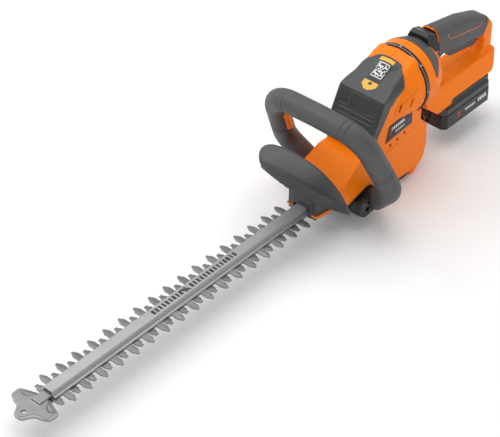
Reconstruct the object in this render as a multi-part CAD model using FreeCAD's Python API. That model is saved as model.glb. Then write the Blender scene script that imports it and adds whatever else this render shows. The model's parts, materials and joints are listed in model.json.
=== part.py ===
"""Cordless hedge trimmer with a swivelling rear handle.

Working frame: X = 0 at the front face of the nose block, +X towards the blade tip, +Y to the
operator's left, Z = 0 on the plane where the two blades slide on each other. Every finished
piece is moved by PLACE at the end, so the model stands on Z = 0 with its length centred on X = 0.
"""
import FreeCAD, Part
import math
import os
from FreeCAD import Vector as V

# ---------------------------------------------------------------- driving dimensions (mm)
FIT = 0.1              # gap between sliding metal faces, and radial gap of a running fit's pair
GAP = 0.4              # gap between pieces that move past each other freely
WALL = 2.8             # wall of the moulded shells

# cutting blades
TOOTH_PITCH = 30.0
TOOTH_COUNT = 17
TOOTH_WIDTH = 10.8
LONG_TOOTH = 35.0      # reach of the upper blade's teeth from the centre line
SHORT_TOOTH = 26.5     # reach of the lower blade's teeth
TOOTH_POINT = 8.0      # length of the pointed end of a long tooth
NUB_HALF = 2.8         # half width of the blunt nub that ends a short tooth
NUB_LENGTH = 3.0
NUB_TAPER = 4.0        # length over which a short tooth narrows to its nub
BLADE_THICK = 2.0
BLADE_HALF = 11.0      # half width of a blade's bar
STROKE = 15.0          # travel of each blade, half a pitch
FIRST_TOOTH = 22.0     # first tooth's centre, ahead of the nose
BOLT_R = 2.5
BOLT_COUNT = 6

# blade cover, support bar and tip protector
COVER_TOP_HALF = 8.9
COVER_LIP_HALF = 14.0
COVER_HEIGHT = 11.0
COVER_SHEET = 1.4
BAR_THICK = 3.2
TIP_HALF = 38.3
TIP_LENGTH = 50.0
TIP_THICK = 4.0
HANG_HOLE_R = 3.5

# gearbox and drive
MODULE = 1.25
GEAR_TEETH = 52
PINION_TEETH = 12
GEAR_FACE = 7.0
CRANK_X = -95.0
ECCENTRIC_R = 11.0
SHAFT_R = 5.0
YOKE_PLAY = 1.8        # room for the straight-line ratio that stands for the crank's cosine
MOTOR_R = 22.0
MOTOR_HEIGHT = 62.0
MOTOR_SHAFT_R = 2.5

# nose, gear cover and hand guard
NOSE_HALF = 26.0
NOSE_BACK_HALF = 33.0
NOSE_LENGTH = 52.0
NOSE_TOP = 27.5
NOSE_BOTTOM = -5.0
GEAR_COVER_HALF = 48.0
GEAR_COVER_TOP_HALF = 38.0
GEAR_COVER_TOP = 61.0
GUARD_HALF = 86.5
GUARD_TOP = 120.0
GUARD_THICK = 3.2
GUARD_TIP_Z = 35.0     # height of the guard's pointed ends
GUARD_LEAN = 26.0      # how far the guard's top leans out over the blades
GUARD_CREASE = (-6.0, 16.0)  # the crease's place, and its height above the lower edge

# motor housing
BODY_FRONT = -105.0
BODY_REAR = -230.0
BODY_HALF = 42.0
BODY_BOTTOM = -28.0
FOOT_DROP = 14.0       # how far the foot reaches below the housing
RAMP_FRONT_Z = 143.0
RAMP_FRONT_X = -135.0
CROWN_X = -219.0
SKIN = 1.4             # how far the motor cover stands out of and into the housing

# swivel
SWIVEL_Z = 125.0
RING_R = 57.0
RING_WIDE = 7.0
SWIVEL_SHAFT_R = 34.0

# front handle
LOOP_LEAN = 24.6       # degrees forward from upright
LOOP_X = -102.0
LOOP_FOOT_Y = 58.0
LOOP_FOOT_Z = -10.0
LOOP_WIDE = 103.0
LOOP_WIDE_Z = 49.5
LOOP_TOP_Y = 84.0
LOOP_TOP_Z = 174.0
LOOP_CROWN = 3.5       # rise of the top bar's middle
LOOP_BEND = 45.0
LOOP_TUBE_R = 17.8
LOOP_WALL = 3.0
PADDLE_LENGTH = 52.0
PADDLE_HALF = 6.5
PADDLE_TRAVEL = 3.0

# rear handle
HANDLE_BACK = -452.0
GRIP_FRONT = -297.0
GRIP_HALF = 17.5
GRIP_TOP_FRONT = 179.0
GRIP_TOP_BACK = 154.0
NECK_TOP = 163.0       # top of the neck that the lock slides on
BASE_HALF = 34.0
BASE_TOP = 78.0
OPENING_FRONT = -302.0
OPENING_BACK = -420.0
TRIGGER_SWING = 7.0    # degrees
TRIGGER_STEPS = 6
TRIGGER_HALF = 11.0
SLIDER_TRAVEL = 6.0

# battery
PACK_HALF = 40.0
PACK_FRONT = -297.0
PACK_BACK = -419.0
PACK_BOTTOM = 0.0
PACK_SPLIT = 26.0
PACK_TOP = 45.5
PACK_STEP = -323.0
RAIL_HALF = 20.0
CELL_R = 9.2

# ---------------------------------------------------------------- worked-out places
ECCENTRICITY = STROKE / 2
GEAR_R = MODULE * GEAR_TEETH / 2
PINION_R = MODULE * PINION_TEETH / 2
MOTOR_X = CRANK_X - GEAR_R - PINION_R
LAST_X = FIRST_TOOTH + TOOTH_PITCH * (TOOTH_COUNT - 1)
COVER_END = LAST_X + 17.5
TIP_ROOT = LAST_X + STROKE + TOOTH_WIDTH / 2 + 4.0
TIP_END = TIP_ROOT + TIP_LENGTH
UPPER_Z = (FIT / 2, FIT / 2 + BLADE_THICK)
LOWER_Z = (-UPPER_Z[1], -UPPER_Z[0])
BAR_TOP = LOWER_Z[0] - 2 * FIT
BAR_Z = (BAR_TOP - BAR_THICK, BAR_TOP)
LIP_Z = UPPER_Z[1] + 2 * FIT
FLOOR_Z = BODY_BOTTOM - FOOT_DROP
PLACE = V(-(TIP_END + HANDLE_BACK) / 2, 0, -FLOOR_Z)
PAN_FLOOR = -12.0
GEAR_Z = 6.0
LID_Z = GEAR_Z + GEAR_FACE + 2.0
LID_THICK = 4.0
MOTOR_Z = LID_Z + LID_THICK
BEARING_R = 11.0
BEARING_THICK = 5.0


# ---------------------------------------------------------------- helpers
def block(x0, x1, y0, y1, z0, z1):
    return Part.makeBox(abs(x1 - x0), abs(y1 - y0), abs(z1 - z0),
                        V(min(x0, x1), min(y0, y1), min(z0, z1)))


def mid(x0, x1, half, z0, z1):
    return block(x0, x1, -half, half, z0, z1)


def rod(r, length, start, axis):
    return Part.makeCylinder(r, length, start, axis)


def ring(outer, inner, length, start, axis):
    return rod(outer, length, start, axis).cut(rod(inner, length, start, axis))


def prism(points, depth):
    return Part.Face(Part.makePolygon(points + [points[0]])).extrude(depth)


def slab_xy(points, z0, z1):
    return prism([V(x, y, z0) for x, y in points], V(0, 0, z1 - z0))


def slab_xz(points, y0, y1):
    return prism([V(x, y0, z) for x, z in points], V(0, y1 - y0, 0))


def slab_yz(points, x0, x1):
    return prism([V(x0, y, z) for y, z in points], V(x1 - x0, 0, 0))


def both_sides(points):
    """Close a half outline (y >= 0) with its mirror image."""
    return points + [(x, -y) for x, y in reversed(points)]


def across(points):
    """Closes a half outline of (y, z) points by adding its mirror image."""
    return points + [(-y, z) for y, z in reversed(points)]


def mirror(shape):
    return shape.mirror(V(0, 0, 0), V(0, 1, 0))


def fuse(shapes):
    first = shapes[0]
    return first.multiFuse(shapes[1:]).removeSplitter() if len(shapes) > 1 else first


def cut(shape, tools):
    for tool in tools:
        shape = shape.cut(tool)
    return shape


def rounded_section(x, half, z0, z1, low_r, top_r):
    """A closed rounded rectangle in the plane X = x, eight edges, always in the same order."""
    q = math.sqrt(0.5)
    corners = [(half - top_r, z1 - top_r, top_r, 0), (-half + top_r, z1 - top_r, top_r, 90),
               (-half + low_r, z0 + low_r, low_r, 180), (half - low_r, z0 + low_r, low_r, 270)]
    turned = []
    for y, z, r, start in corners:
        a = [math.radians(start + step) for step in (0, 45, 90)]
        turned.append([V(x, y + r * math.cos(t), z + r * math.sin(t)) for t in a])
    edges = []
    for here, after in zip(turned, turned[1:] + turned[:1]):
        edges.append(Part.Arc(*here).toShape())
        edges.append(Part.LineSegment(here[2], after[0]).toShape())
    return Part.Wire(edges)


def loft(sections):
    return Part.makeLoft(sections, True, True)


def gear(teeth, face, centre, z0, phase):
    """Spur gear with straight-flanked trapezium teeth close to the involute at this size."""
    r = MODULE * teeth / 2
    root, tip = r - 1.25 * MODULE, r + 0.95 * MODULE
    step = 2 * math.pi / teeth
    points = []
    for n in range(teeth):
        for radius, offset in ((root, -0.32), (r, -0.21), (tip, -0.09),
                               (tip, 0.09), (r, 0.21), (root, 0.32)):
            a = phase + (n + offset) * step
            points.append((centre + radius * math.cos(a), radius * math.sin(a)))
    return slab_xy(points, z0, z0 + face)


def coil_spring(r, wire, turns, start, length):
    """Open coil spring along +Z, with its wire inside the given length."""
    pitch = (length - 2 * wire) / turns
    path = Part.makeHelix(pitch, length - 2 * wire, r)
    section = Part.Wire(Part.makeCircle(wire, V(r, 0, 0), V(0, 1, 0)))
    spring = Part.Wire(path.Edges).makePipeShell([section], True, True)
    spring.translate(start + V(0, 0, wire))
    return spring


# ---------------------------------------------------------------- cutting unit
def bolt_places():
    first = FIRST_TOOTH + TOOTH_PITCH / 2
    step = (LAST_X - TOOTH_PITCH / 2 - first) / (BOLT_COUNT - 1)
    return [first + step * n for n in range(BOLT_COUNT)]


def tooth(x, reach, point, tip_half, nub=0.0):
    """Outline of one tooth: straight flanks, then a taper to its tip and, if asked for, a straight nub."""
    w = TOOTH_WIDTH / 2
    flank = [(w, 0), (w, reach - point)]
    end = [(tip_half, reach - nub), (tip_half, reach)] if nub else [(tip_half, reach)]
    right = [(x + across, out) for across, out in flank + end]
    left = [(x - across, out) for across, out in flank + end]
    return right + left[::-1]


def blade(z, reach, point, tip_half, nub, shift, slot_low, slot_high, yoke_x):
    """One toothed blade with its guide slots and the yoke that the eccentric drives."""
    teeth = []
    for n in range(TOOTH_COUNT):
        outline = tooth(FIRST_TOOTH + shift + TOOTH_PITCH * n, reach, point, tip_half, nub)
        teeth.append(slab_xy(outline, *z))
        teeth.append(mirror(teeth[-1]))
    end = LAST_X + shift + TOOTH_WIDTH / 2
    arm_half = BLADE_HALF - 1.0
    slot_x = ECCENTRIC_R + YOKE_PLAY
    slot_y = ECCENTRIC_R + ECCENTRICITY + 0.5
    yoke = mid(yoke_x - slot_x - 4.5, yoke_x + slot_x + 4.5, slot_y + 4.0, *z)
    bar = mid(FIRST_TOOTH - 8.0, end, BLADE_HALF, *z)
    arm = mid(yoke_x + slot_x, FIRST_TOOTH, arm_half, *z)
    body = fuse([bar, arm, yoke] + teeth)
    holes = [mid(yoke_x - slot_x, yoke_x + slot_x, slot_y, z[0] - 1, z[1] + 1)]
    for x in bolt_places():
        r = BOLT_R + 2 * FIT
        holes.append(mid(x + slot_low, x + slot_high, r, z[0] - 1, z[1] + 1))
        holes += [rod(r, BLADE_THICK + 2, V(x + s, 0, z[0] - 1), V(0, 0, 1))
                  for s in (slot_low, slot_high)]
    return cut(body, holes)


def upper_blade():
    return blade(UPPER_Z, LONG_TOOTH, TOOTH_POINT, 1.3, 0, 0, -STROKE - GAP, GAP,
                 CRANK_X - ECCENTRICITY)


def lower_blade():
    return blade(LOWER_Z, SHORT_TOOTH, NUB_TAPER + NUB_LENGTH, NUB_HALF, NUB_LENGTH, TOOTH_PITCH / 2,
                 -GAP, STROKE + GAP, CRANK_X + ECCENTRICITY)


def blade_bolts():
    """Countersunk guide bolts, put in from below through the support bar."""
    bolts = []
    for x in bolt_places():
        shank = rod(BOLT_R, LIP_Z + 5.0 - BAR_Z[0], V(x, 0, BAR_Z[0]), V(0, 0, 1))
        head = Part.makeCone(BOLT_R + 2.2, BOLT_R, 2.2, V(x, 0, BAR_Z[0]), V(0, 0, 1))
        bolts.append(shank.fuse(head).removeSplitter())
    return bolts


def blade_nuts():
    nuts = []
    for x in bolt_places():
        hexagon = [(x + 4.6 * math.cos(math.radians(60 * n)), 4.6 * math.sin(math.radians(60 * n)))
                   for n in range(6)]
        z0 = LIP_Z + COVER_SHEET
        nuts.append(slab_xy(hexagon, z0, z0 + 2.4).cut(rod(BOLT_R, 9, V(x, 0, z0 - 3), V(0, 0, 1))))
    return nuts


def blade_cover():
    """Folded rail over the blades: a raised box with a groove and a lip along each side."""
    s = COVER_SHEET
    outer = [(COVER_LIP_HALF, LIP_Z), (COVER_LIP_HALF, LIP_Z + s), (10.4, LIP_Z + s + 0.6),
             (9.6, LIP_Z + s), (COVER_TOP_HALF, COVER_HEIGHT - 1.0),
             (COVER_TOP_HALF - 1.0, COVER_HEIGHT)]
    inner = [(-COVER_TOP_HALF + s, LIP_Z + s), (-COVER_TOP_HALF + s, COVER_HEIGHT - s),
             (COVER_TOP_HALF - s, COVER_HEIGHT - s), (COVER_TOP_HALF - s, LIP_Z + s)]
    start = -3.0
    rail = slab_yz(outer + [(-y, z) for y, z in reversed(outer)], start, COVER_END)
    return cut(rail, [slab_yz(inner, start - 1, COVER_END + 1)] + blade_bolts())


def support_bar():
    """Steel bar under the lower blade. It carries the bolts and the tip protector."""
    end = TIP_ROOT + TIP_LENGTH * 0.5
    bar = mid(-NOSE_LENGTH + 8.0, end, BLADE_HALF, *BAR_Z)
    return cut(bar, blade_bolts() + tip_screws())


def tip_screws():
    screws = []
    for x in (TIP_ROOT + 6.0, TIP_ROOT + 19.0):
        shank = rod(1.8, BAR_THICK + 2.6, V(x, 0, BAR_Z[0]), V(0, 0, 1))
        head = Part.makeCone(3.6, 1.8, 1.8, V(x, 0, BAR_Z[0]), V(0, 0, 1))
        screws.append(shank.fuse(head).removeSplitter())
    return screws


def tip_outline():
    """Half outline of the protector, from the root to the nose."""
    e = TIP_END
    return [(TIP_ROOT, 0), (TIP_ROOT, 12.0), (e - 43.0, 31.0), (e - 41.0, 36.5), (e - 36.0, TIP_HALF),
            (e - 25.0, TIP_HALF - 1.0), (e - 19.5, 28.0), (e - 16.5, 18.0), (e - 10.0, 12.5),
            (e - 3.0, 9.0), (e, 3.5), (e, 0)]


def tip_protector():
    z0 = BAR_Z[1]
    outline = tip_outline()
    plate = slab_xy(both_sides(outline[1:-1]), z0, z0 + TIP_THICK)
    lobe = [(x, y - 5.0 if y > 20 else y * 0.72) for x, y in outline[1:-1]]
    raised = slab_xy(both_sides([(x - 3.0 if x > TIP_END - 20 else x + 2.0, y) for x, y in lobe]),
                     z0 + TIP_THICK, z0 + TIP_THICK + 1.2)
    neck = mid(COVER_END + 1.0, TIP_ROOT + 16.0, 8.0, LIP_Z, LIP_Z + 3.6)
    ridge = slab_xz([(TIP_ROOT, LIP_Z + 3.6), (TIP_ROOT + 22.0, LIP_Z + 0.2), (TIP_ROOT + 22.0, z0 + 2),
                     (TIP_ROOT, z0 + 2)], -8.0, 8.0)
    hole = rod(HANG_HOLE_R, 20, V(TIP_END - 13.0, 0, z0 - 2), V(0, 0, 1))
    return cut(fuse([plate, raised, neck, ridge]), [hole] + tip_screws())


# ---------------------------------------------------------------- gearbox and drive
def crank_shaft():
    low = PAN_FLOOR + 1.0
    return rod(SHAFT_R, LID_Z + BEARING_THICK + 2.0 - low, V(CRANK_X, 0, low), V(0, 0, 1))


def eccentric(z, side):
    disc = rod(ECCENTRIC_R, BLADE_THICK, V(CRANK_X + side * ECCENTRICITY, 0, z[0]), V(0, 0, 1))
    return disc.cut(rod(SHAFT_R, 40, V(CRANK_X, 0, -20), V(0, 0, 1)))


def eccentric_spacer():
    z0 = UPPER_Z[1]
    return ring(SHAFT_R + 2.5, SHAFT_R, GEAR_Z - z0, V(CRANK_X, 0, z0), V(0, 0, 1))


def crank_gear():
    body = gear(GEAR_TEETH, GEAR_FACE, CRANK_X, GEAR_Z, 0)
    holes = [rod(SHAFT_R, 40, V(CRANK_X, 0, -20), V(0, 0, 1))]
    for n in range(6):
        a = math.radians(60 * n + 30)
        centre = V(CRANK_X + 0.58 * GEAR_R * math.cos(a), 0.58 * GEAR_R * math.sin(a), GEAR_Z - 1)
        holes.append(rod(5.0, GEAR_FACE + 2, centre, V(0, 0, 1)))
    return cut(body, holes)


def bearing(x, z0, bore, outer):
    """Plain bearing bush that a shaft runs in."""
    return ring(outer, bore + FIT / 2, BEARING_THICK, V(x, 0, z0), V(0, 0, 1))


def bearings():
    return [bearing(CRANK_X, PAN_FLOOR + 1.0, SHAFT_R, BEARING_R),
            bearing(CRANK_X, LID_Z, SHAFT_R, BEARING_R),
            bearing(MOTOR_X, MOTOR_Z + 0.5, MOTOR_SHAFT_R, 6.0),
            bearing(MOTOR_X, MOTOR_Z + MOTOR_HEIGHT - BEARING_THICK + 1.5, MOTOR_SHAFT_R, 6.0)]


def pinion():
    half_tooth = math.pi / PINION_TEETH if PINION_TEETH % 2 == 0 else 0
    body = gear(PINION_TEETH, GEAR_FACE + 1.0, MOTOR_X, GEAR_Z - 0.5, half_tooth)
    return body.cut(rod(MOTOR_SHAFT_R, 40, V(MOTOR_X, 0, -20), V(0, 0, 1)))


def motor_shaft():
    return rod(MOTOR_SHAFT_R, MOTOR_Z + MOTOR_HEIGHT + 13.0 - GEAR_Z, V(MOTOR_X, 0, GEAR_Z - 0.5),
               V(0, 0, 1))


def rotor_core():
    """Laminated armature with three wound poles."""
    z0, tall = MOTOR_Z + 14.0, MOTOR_HEIGHT - 30.0
    core = rod(MOTOR_R - 6.0, tall, V(MOTOR_X, 0, z0), V(0, 0, 1))
    slots = []
    for n in range(3):
        slot = block(MOTOR_X + 7.0, MOTOR_X + MOTOR_R, -2.0, 2.0, z0 - 1, z0 + tall + 1)
        slot.rotate(V(MOTOR_X, 0, 0), V(0, 0, 1), 120 * n + 60)
        slots.append(slot)
    return cut(core, slots + [rod(MOTOR_SHAFT_R, 200, V(MOTOR_X, 0, -20), V(0, 0, 1))])


def motor_magnets():
    z0, tall = MOTOR_Z + 13.0, MOTOR_HEIGHT - 28.0
    whole = ring(MOTOR_R - 1.5, MOTOR_R - 5.0, tall, V(MOTOR_X, 0, z0), V(0, 0, 1))
    gap = block(MOTOR_X - MOTOR_R, MOTOR_X + MOTOR_R, -4, 4, z0 - 1, z0 + tall + 1)
    return whole.cut(gap).Solids


def motor_can():
    can = rod(MOTOR_R, MOTOR_HEIGHT - 8.0, V(MOTOR_X, 0, MOTOR_Z), V(0, 0, 1))
    hollow = rod(MOTOR_R - 1.5, MOTOR_HEIGHT, V(MOTOR_X, 0, MOTOR_Z + 1.5), V(0, 0, 1))
    seat = ring(8.0, 6.0, 5.0, V(MOTOR_X, 0, MOTOR_Z + 0.5), V(0, 0, 1))
    way = rod(6.0, 10.0, V(MOTOR_X, 0, MOTOR_Z - 1), V(0, 0, 1))
    return cut(can, [hollow]).fuse(seat).cut(way).removeSplitter()


def motor_end_cap():
    z0 = MOTOR_Z + MOTOR_HEIGHT - 8.0
    cap = rod(MOTOR_R, 8.0, V(MOTOR_X, 0, z0), V(0, 0, 1))
    hollow = rod(MOTOR_R - 3.0, 3.0, V(MOTOR_X, 0, z0), V(0, 0, 1))
    way = rod(6.0, 20.0, V(MOTOR_X, 0, z0 - 1), V(0, 0, 1))
    vents = []
    for n in range(4):
        a = math.radians(90 * n + 45)
        vents.append(rod(3.5, 20.0, V(MOTOR_X + 13.0 * math.cos(a), 13.0 * math.sin(a), z0 - 1),
                         V(0, 0, 1)))
    return cut(cap, [hollow, way] + vents)


def fan():
    z0 = MOTOR_Z + MOTOR_HEIGHT + 3.5
    hub = rod(6.0, 8.0, V(MOTOR_X, 0, z0), V(0, 0, 1))
    plate = rod(MOTOR_R - 3.0, 1.4, V(MOTOR_X, 0, z0), V(0, 0, 1))
    vanes = []
    for n in range(9):
        vane = block(MOTOR_X + 5.0, MOTOR_X + MOTOR_R - 3.5, -0.7, 0.7, z0, z0 + 7.0)
        vane.rotate(V(MOTOR_X, 0, 0), V(0, 0, 1), 40 * n)
        vanes.append(vane)
    body = fuse([hub, plate] + vanes)
    return body.cut(rod(MOTOR_SHAFT_R, 30, V(MOTOR_X, 0, z0 - 5), V(0, 0, 1)))


PAN_HALF = GEAR_R + MODULE + 1.6
PAN_FRONT = -NOSE_LENGTH - 1.0
PAN_BACK = MOTOR_X - 12.0


def gearbox_pan():
    wall = 3.0
    body = mid(PAN_FRONT, PAN_BACK, PAN_HALF + wall, PAN_FLOOR - 3.0, LID_Z)
    room = mid(PAN_FRONT - wall, PAN_BACK + wall, PAN_HALF, PAN_FLOOR + 1.0, LID_Z + 1)
    seat = rod(BEARING_R + 3.0, 5.0, V(CRANK_X, 0, PAN_FLOOR), V(0, 0, 1))
    mouth = mid(PAN_FRONT - wall - 1, PAN_FRONT + 1, BLADE_HALF + GAP, BAR_Z[0], COVER_HEIGHT)
    bore = rod(BEARING_R, 20.0, V(CRANK_X, 0, PAN_FLOOR + 1.0), V(0, 0, 1))
    screws = gearbox_screws() + [bracket_screw(1), bracket_screw(-1)]
    return cut(body.cut(room).fuse(seat), [mouth, bore] + screws).removeSplitter()


def gearbox_lid():
    plate = mid(PAN_FRONT, PAN_BACK, PAN_HALF + 3.0, LID_Z, LID_Z + LID_THICK)
    boss = rod(BEARING_R + 3.0, BEARING_THICK + 1.0, V(CRANK_X, 0, LID_Z), V(0, 0, 1))
    bore = rod(BEARING_R, 20.0, V(CRANK_X, 0, LID_Z - 1), V(0, 0, 1))
    way = rod(PINION_R + MODULE + 1.0, 10.0, V(MOTOR_X, 0, LID_Z - 1), V(0, 0, 1))
    return cut(plate.fuse(boss), [bore, way] + gearbox_screws()).removeSplitter()


def gearbox_screws():
    screws = []
    for x in (PAN_FRONT - 5.0, PAN_BACK + 5.0):
        for y in (-PAN_HALF - 0.6, PAN_HALF + 0.6):
            shank = rod(1.3, LID_THICK + 9.0, V(x, y, LID_Z - 9.0), V(0, 0, 1))
            head = rod(2.2, 2.0, V(x, y, LID_Z + LID_THICK), V(0, 0, 1))
            screws.append(shank.fuse(head).removeSplitter())
    return screws


# ---------------------------------------------------------------- nose, gear cover, guard
def nose_block():
    """Grey block that the blades leave, with a raised plate round the mouth."""
    outline = both_sides([(0, NOSE_HALF), (-NOSE_LENGTH, NOSE_BACK_HALF)])
    body = slab_xy(outline, NOSE_BOTTOM, NOSE_TOP)
    room = mid(-NOSE_LENGTH - 1, -4.0, NOSE_HALF - 4.0, COVER_HEIGHT, NOSE_TOP - 4.0)
    plate = mid(0, 1.6, COVER_LIP_HALF + 4.0, NOSE_BOTTOM, NOSE_TOP - 4.0)
    mouth = mid(-NOSE_LENGTH - 1, 2, BLADE_HALF + 1.0, BAR_Z[0], LIP_Z)
    rail = mid(-3.0, 2, COVER_LIP_HALF, LIP_Z, COVER_HEIGHT)
    way = mid(-NOSE_LENGTH - 1, -3.0, BLADE_HALF + 1.0, LIP_Z, COVER_HEIGHT)
    cage = mid(-12.0, -8.0, BLADE_HALF + 3.0, BAR_Z[0], COVER_HEIGHT)
    return cut(body.fuse(plate), [room, mouth, rail, way, cage] + guard_screws()).removeSplitter()


def felt_seal():
    """Oiled felt that wipes the blades where they leave the nose."""
    pad = mid(-12.0, -8.0, BLADE_HALF + 3.0, BAR_Z[0], COVER_HEIGHT)
    slot = mid(-13.0, -7.0, BLADE_HALF, BAR_Z[0] - 1, UPPER_Z[1] + FIT)
    return pad.cut(slot)


def trim_frame():
    """Orange sill round the foot of the nose."""
    w = 3.4
    outer = both_sides([(0.6, NOSE_HALF + w), (-NOSE_LENGTH, NOSE_BACK_HALF + w)])
    body = slab_xy(outer, NOSE_BOTTOM + 4.6, NOSE_BOTTOM + 7.6)
    inner = both_sides([(0, NOSE_HALF), (-NOSE_LENGTH, NOSE_BACK_HALF), (-NOSE_LENGTH - 1, NOSE_BACK_HALF)])
    mouth = mid(-1, 3, COVER_LIP_HALF + 4.0, NOSE_BOTTOM, NOSE_TOP)
    return cut(body, [slab_xy(inner, NOSE_BOTTOM, NOSE_TOP), mouth])


def gear_cover():
    """Orange faceted cover over the gearbox."""
    low, top, back = NOSE_BOTTOM + 7.6, GEAR_COVER_TOP, BODY_FRONT
    ridge = back + 22.0

    def form(inset):
        side = [(-22.0 - inset, NOSE_TOP + 0.4 - inset), (-50.0, low + 3.0), (back, low + 16.0),
                (back, top - inset), (ridge - inset * 0.4, top - inset)]
        solid = slab_xz(side, -GEAR_COVER_HALF, GEAR_COVER_HALF)
        t, h = GEAR_COVER_TOP_HALF - inset, GEAR_COVER_HALF - inset
        flank = slab_yz([(-h, low - 5), (-h, low + 16.0), (-t, top + 5), (t, top + 5),
                         (h, low + 16.0), (h, low - 5)], back - 1, 0)
        plan = slab_xy(both_sides([(0, 21.0), (-22.0, 26.0 + (GEAR_COVER_HALF - 48.0)),
                                   (-50.0, h), (back - 1, h)]), low - 6, top + 6)
        return solid.common(flank).common(plan)

    room = mid(PAN_FRONT, back - 1, PAN_HALF + 3.4, low - 9, MOTOR_Z + 5.0)
    nose = slab_xy(both_sides([(2, NOSE_HALF + 0.6), (-NOSE_LENGTH - 1, NOSE_BACK_HALF + 0.6)]),
                   NOSE_BOTTOM, NOSE_TOP)
    shell = form(0).cut(form(WALL))
    return cut(shell, [room, nose])


def guard_station(t):
    """Front outline of the guard at a share t of its half width: lower lip, crease and upper edge."""
    rise = math.sqrt(max(1 - t ** 2.5, 0))
    back = GUARD_CREASE[0] + 2.0
    low = NOSE_TOP + 0.3 + (GUARD_TIP_Z - NOSE_TOP) * t * t
    high = GUARD_TIP_Z + (GUARD_TOP - GUARD_TIP_Z) * rise
    lip = (2.0 + (back - 2.0) * t * t, low)
    crease = (GUARD_CREASE[0] + 2.0 * t * t, low + min(GUARD_CREASE[1], 0.4 * (high - low)))
    top = (back + GUARD_LEAN * (high - GUARD_TIP_Z) / (GUARD_TOP - GUARD_TIP_Z), high)
    return lip, crease, top


def guard_rib(y):
    lip, crease, top = guard_station(abs(y) / GUARD_HALF)
    back = GUARD_THICK
    corners = [lip, crease, top, (top[0] - back, top[1]), (crease[0] - back, crease[1] - 0.5),
               (lip[0] - back, lip[1])]
    return Part.makePolygon([V(x, y, z) for x, z in corners + corners[:1]])


def hand_guard():
    """Shield in front of the front handle, leaning out over the blades, with pointed ends."""
    steps = 14
    places = [0.997 * GUARD_HALF * math.sin(math.pi / 2 * n / steps) for n in range(-steps, steps + 1)]
    shield = Part.makeLoft([guard_rib(y) for y in places], True, False)
    foot = mid(-21.5, 0.0, NOSE_HALF - 4.0, NOSE_TOP, NOSE_TOP + 3.0)
    tabs = [block(-20.0, -6.0, s * 14.0 - 4.0, s * 14.0 + 4.0, NOSE_TOP, NOSE_TOP + 12.0)
            for s in (-1, 1)]
    return cut(fuse([shield, foot] + tabs), guard_screws())


def guard_screws():
    screws = []
    for y in (-8.0, 8.0):
        shank = rod(1.8, 7.0, V(-16.0, y, NOSE_TOP - 4.0), V(0, 0, 1))
        head = rod(3.4, 2.2, V(-16.0, y, NOSE_TOP + 3.0), V(0, 0, 1))
        screws.append(shank.fuse(head).removeSplitter())
    return screws


# ---------------------------------------------------------------- motor housing
def crown_form(g):
    """Round shoulder that carries the housing out to the swivel ring."""
    return loft([Part.Wire(Part.makeCircle(r + g, V(x, 0, z), V(1, 0, 0)))
                 for x, z, r in ((CROWN_X, SWIVEL_Z, RING_R - 1.0), (CROWN_X + 28.0, SWIVEL_Z - 4.0, 51.0),
                                 (CROWN_X + 66.0, SWIVEL_Z - 20.0, 40.0))])


def body_form(grow):
    """Outer form of the motor housing, made larger by grow on every side."""
    g = grow
    side = [(BODY_FRONT + g, BODY_BOTTOM - g), (BODY_FRONT + g, 84.0), (RAMP_FRONT_X + g, RAMP_FRONT_Z),
            (RAMP_FRONT_X - 2.0, RAMP_FRONT_Z + 1.0 + g), (CROWN_X, SWIVEL_Z + RING_R - 4.0 + g),
            (CROWN_X, SWIVEL_Z), (BODY_REAR - g, SWIVEL_Z - 5.0), (BODY_REAR - g, 64.0),
            (BODY_REAR - 17.0 - g, 46.0), (BODY_REAR - 19.0 - g, 10.0), (BODY_REAR - 13.0 - g, -14.0),
            (BODY_REAR, BODY_BOTTOM - g)]
    plate = slab_xz(side, -BODY_HALF - g, BODY_HALF + g)
    top_r = 15.0
    hull = loft([rounded_section(x, BODY_HALF + g, BODY_BOTTOM - g - 0.01, z + g, 6.0 + g, r)
                 for x, z, r in ((BODY_FRONT + 10.0, 150.0, top_r), (-165.0, 156.0, top_r),
                                 (CROWN_X, SWIVEL_Z + RING_R, top_r + 10.0), (-270.0, 200.0, 26.0))])
    return plate.common(hull).fuse(crown_form(g)).removeSplitter()


def cover_region():
    """Where the motor cover lies: the front slope and the ramp, tapering towards the crown."""
    side = [(BODY_FRONT + 10.0, 62.0), (BODY_FRONT - 15.0, 84.0), (RAMP_FRONT_X - 14.0, 127.0),
            (RAMP_FRONT_X - 30.0, 139.0), (-200.0, 152.0), (-200.0, 220.0), (BODY_FRONT + 10.0, 220.0)]
    plan = both_sides([(BODY_FRONT + 10.0, BODY_HALF + 9.0), (-176.0, BODY_HALF + 9.0),
                       (-190.0, 30.0), (-199.0, 22.0)])
    return slab_xz(side, -60.0, 60.0).common(slab_xy(plan, 0.0, 260.0))


def housing_openings():
    """Slanted air slots and small square holes in both flanks."""
    tools = []
    for x, z in ((-171.0, 115.5), (-191.0, 118.5)):
        slot = mid(x - 1.2, x + 1.2, 80.0, z - 7.0, z + 7.0)
        slot.rotate(V(x, 0, z), V(0, 1, 0), -16)
        tools.append(slot)
    tools += [mid(x - 2.0, x + 2.0, 80.0, z - 2.0, z + 2.0)
              for x, z in ((-155.0, 55.0), (-172.0, 57.5), (-189.0, 60.0))]
    return tools


def bosses():
    """Screw bosses inside the housing, one row of places for the clamshell's screws."""
    return ((-200.0, -8.0), (-236.0, 22.0), (-205.0, 80.0), (-124.0, 106.0), (-180.0, 140.0))


def housing_screws():
    screws = []
    for x, z in bosses():
        shank = rod(2.0, 26.0, V(x, -24.0, z), V(0, 1, 0))
        head = rod(4.0, 3.0, V(x, -27.0, z), V(0, 1, 0))
        screws.append(shank.fuse(head).removeSplitter())
    return screws


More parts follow.
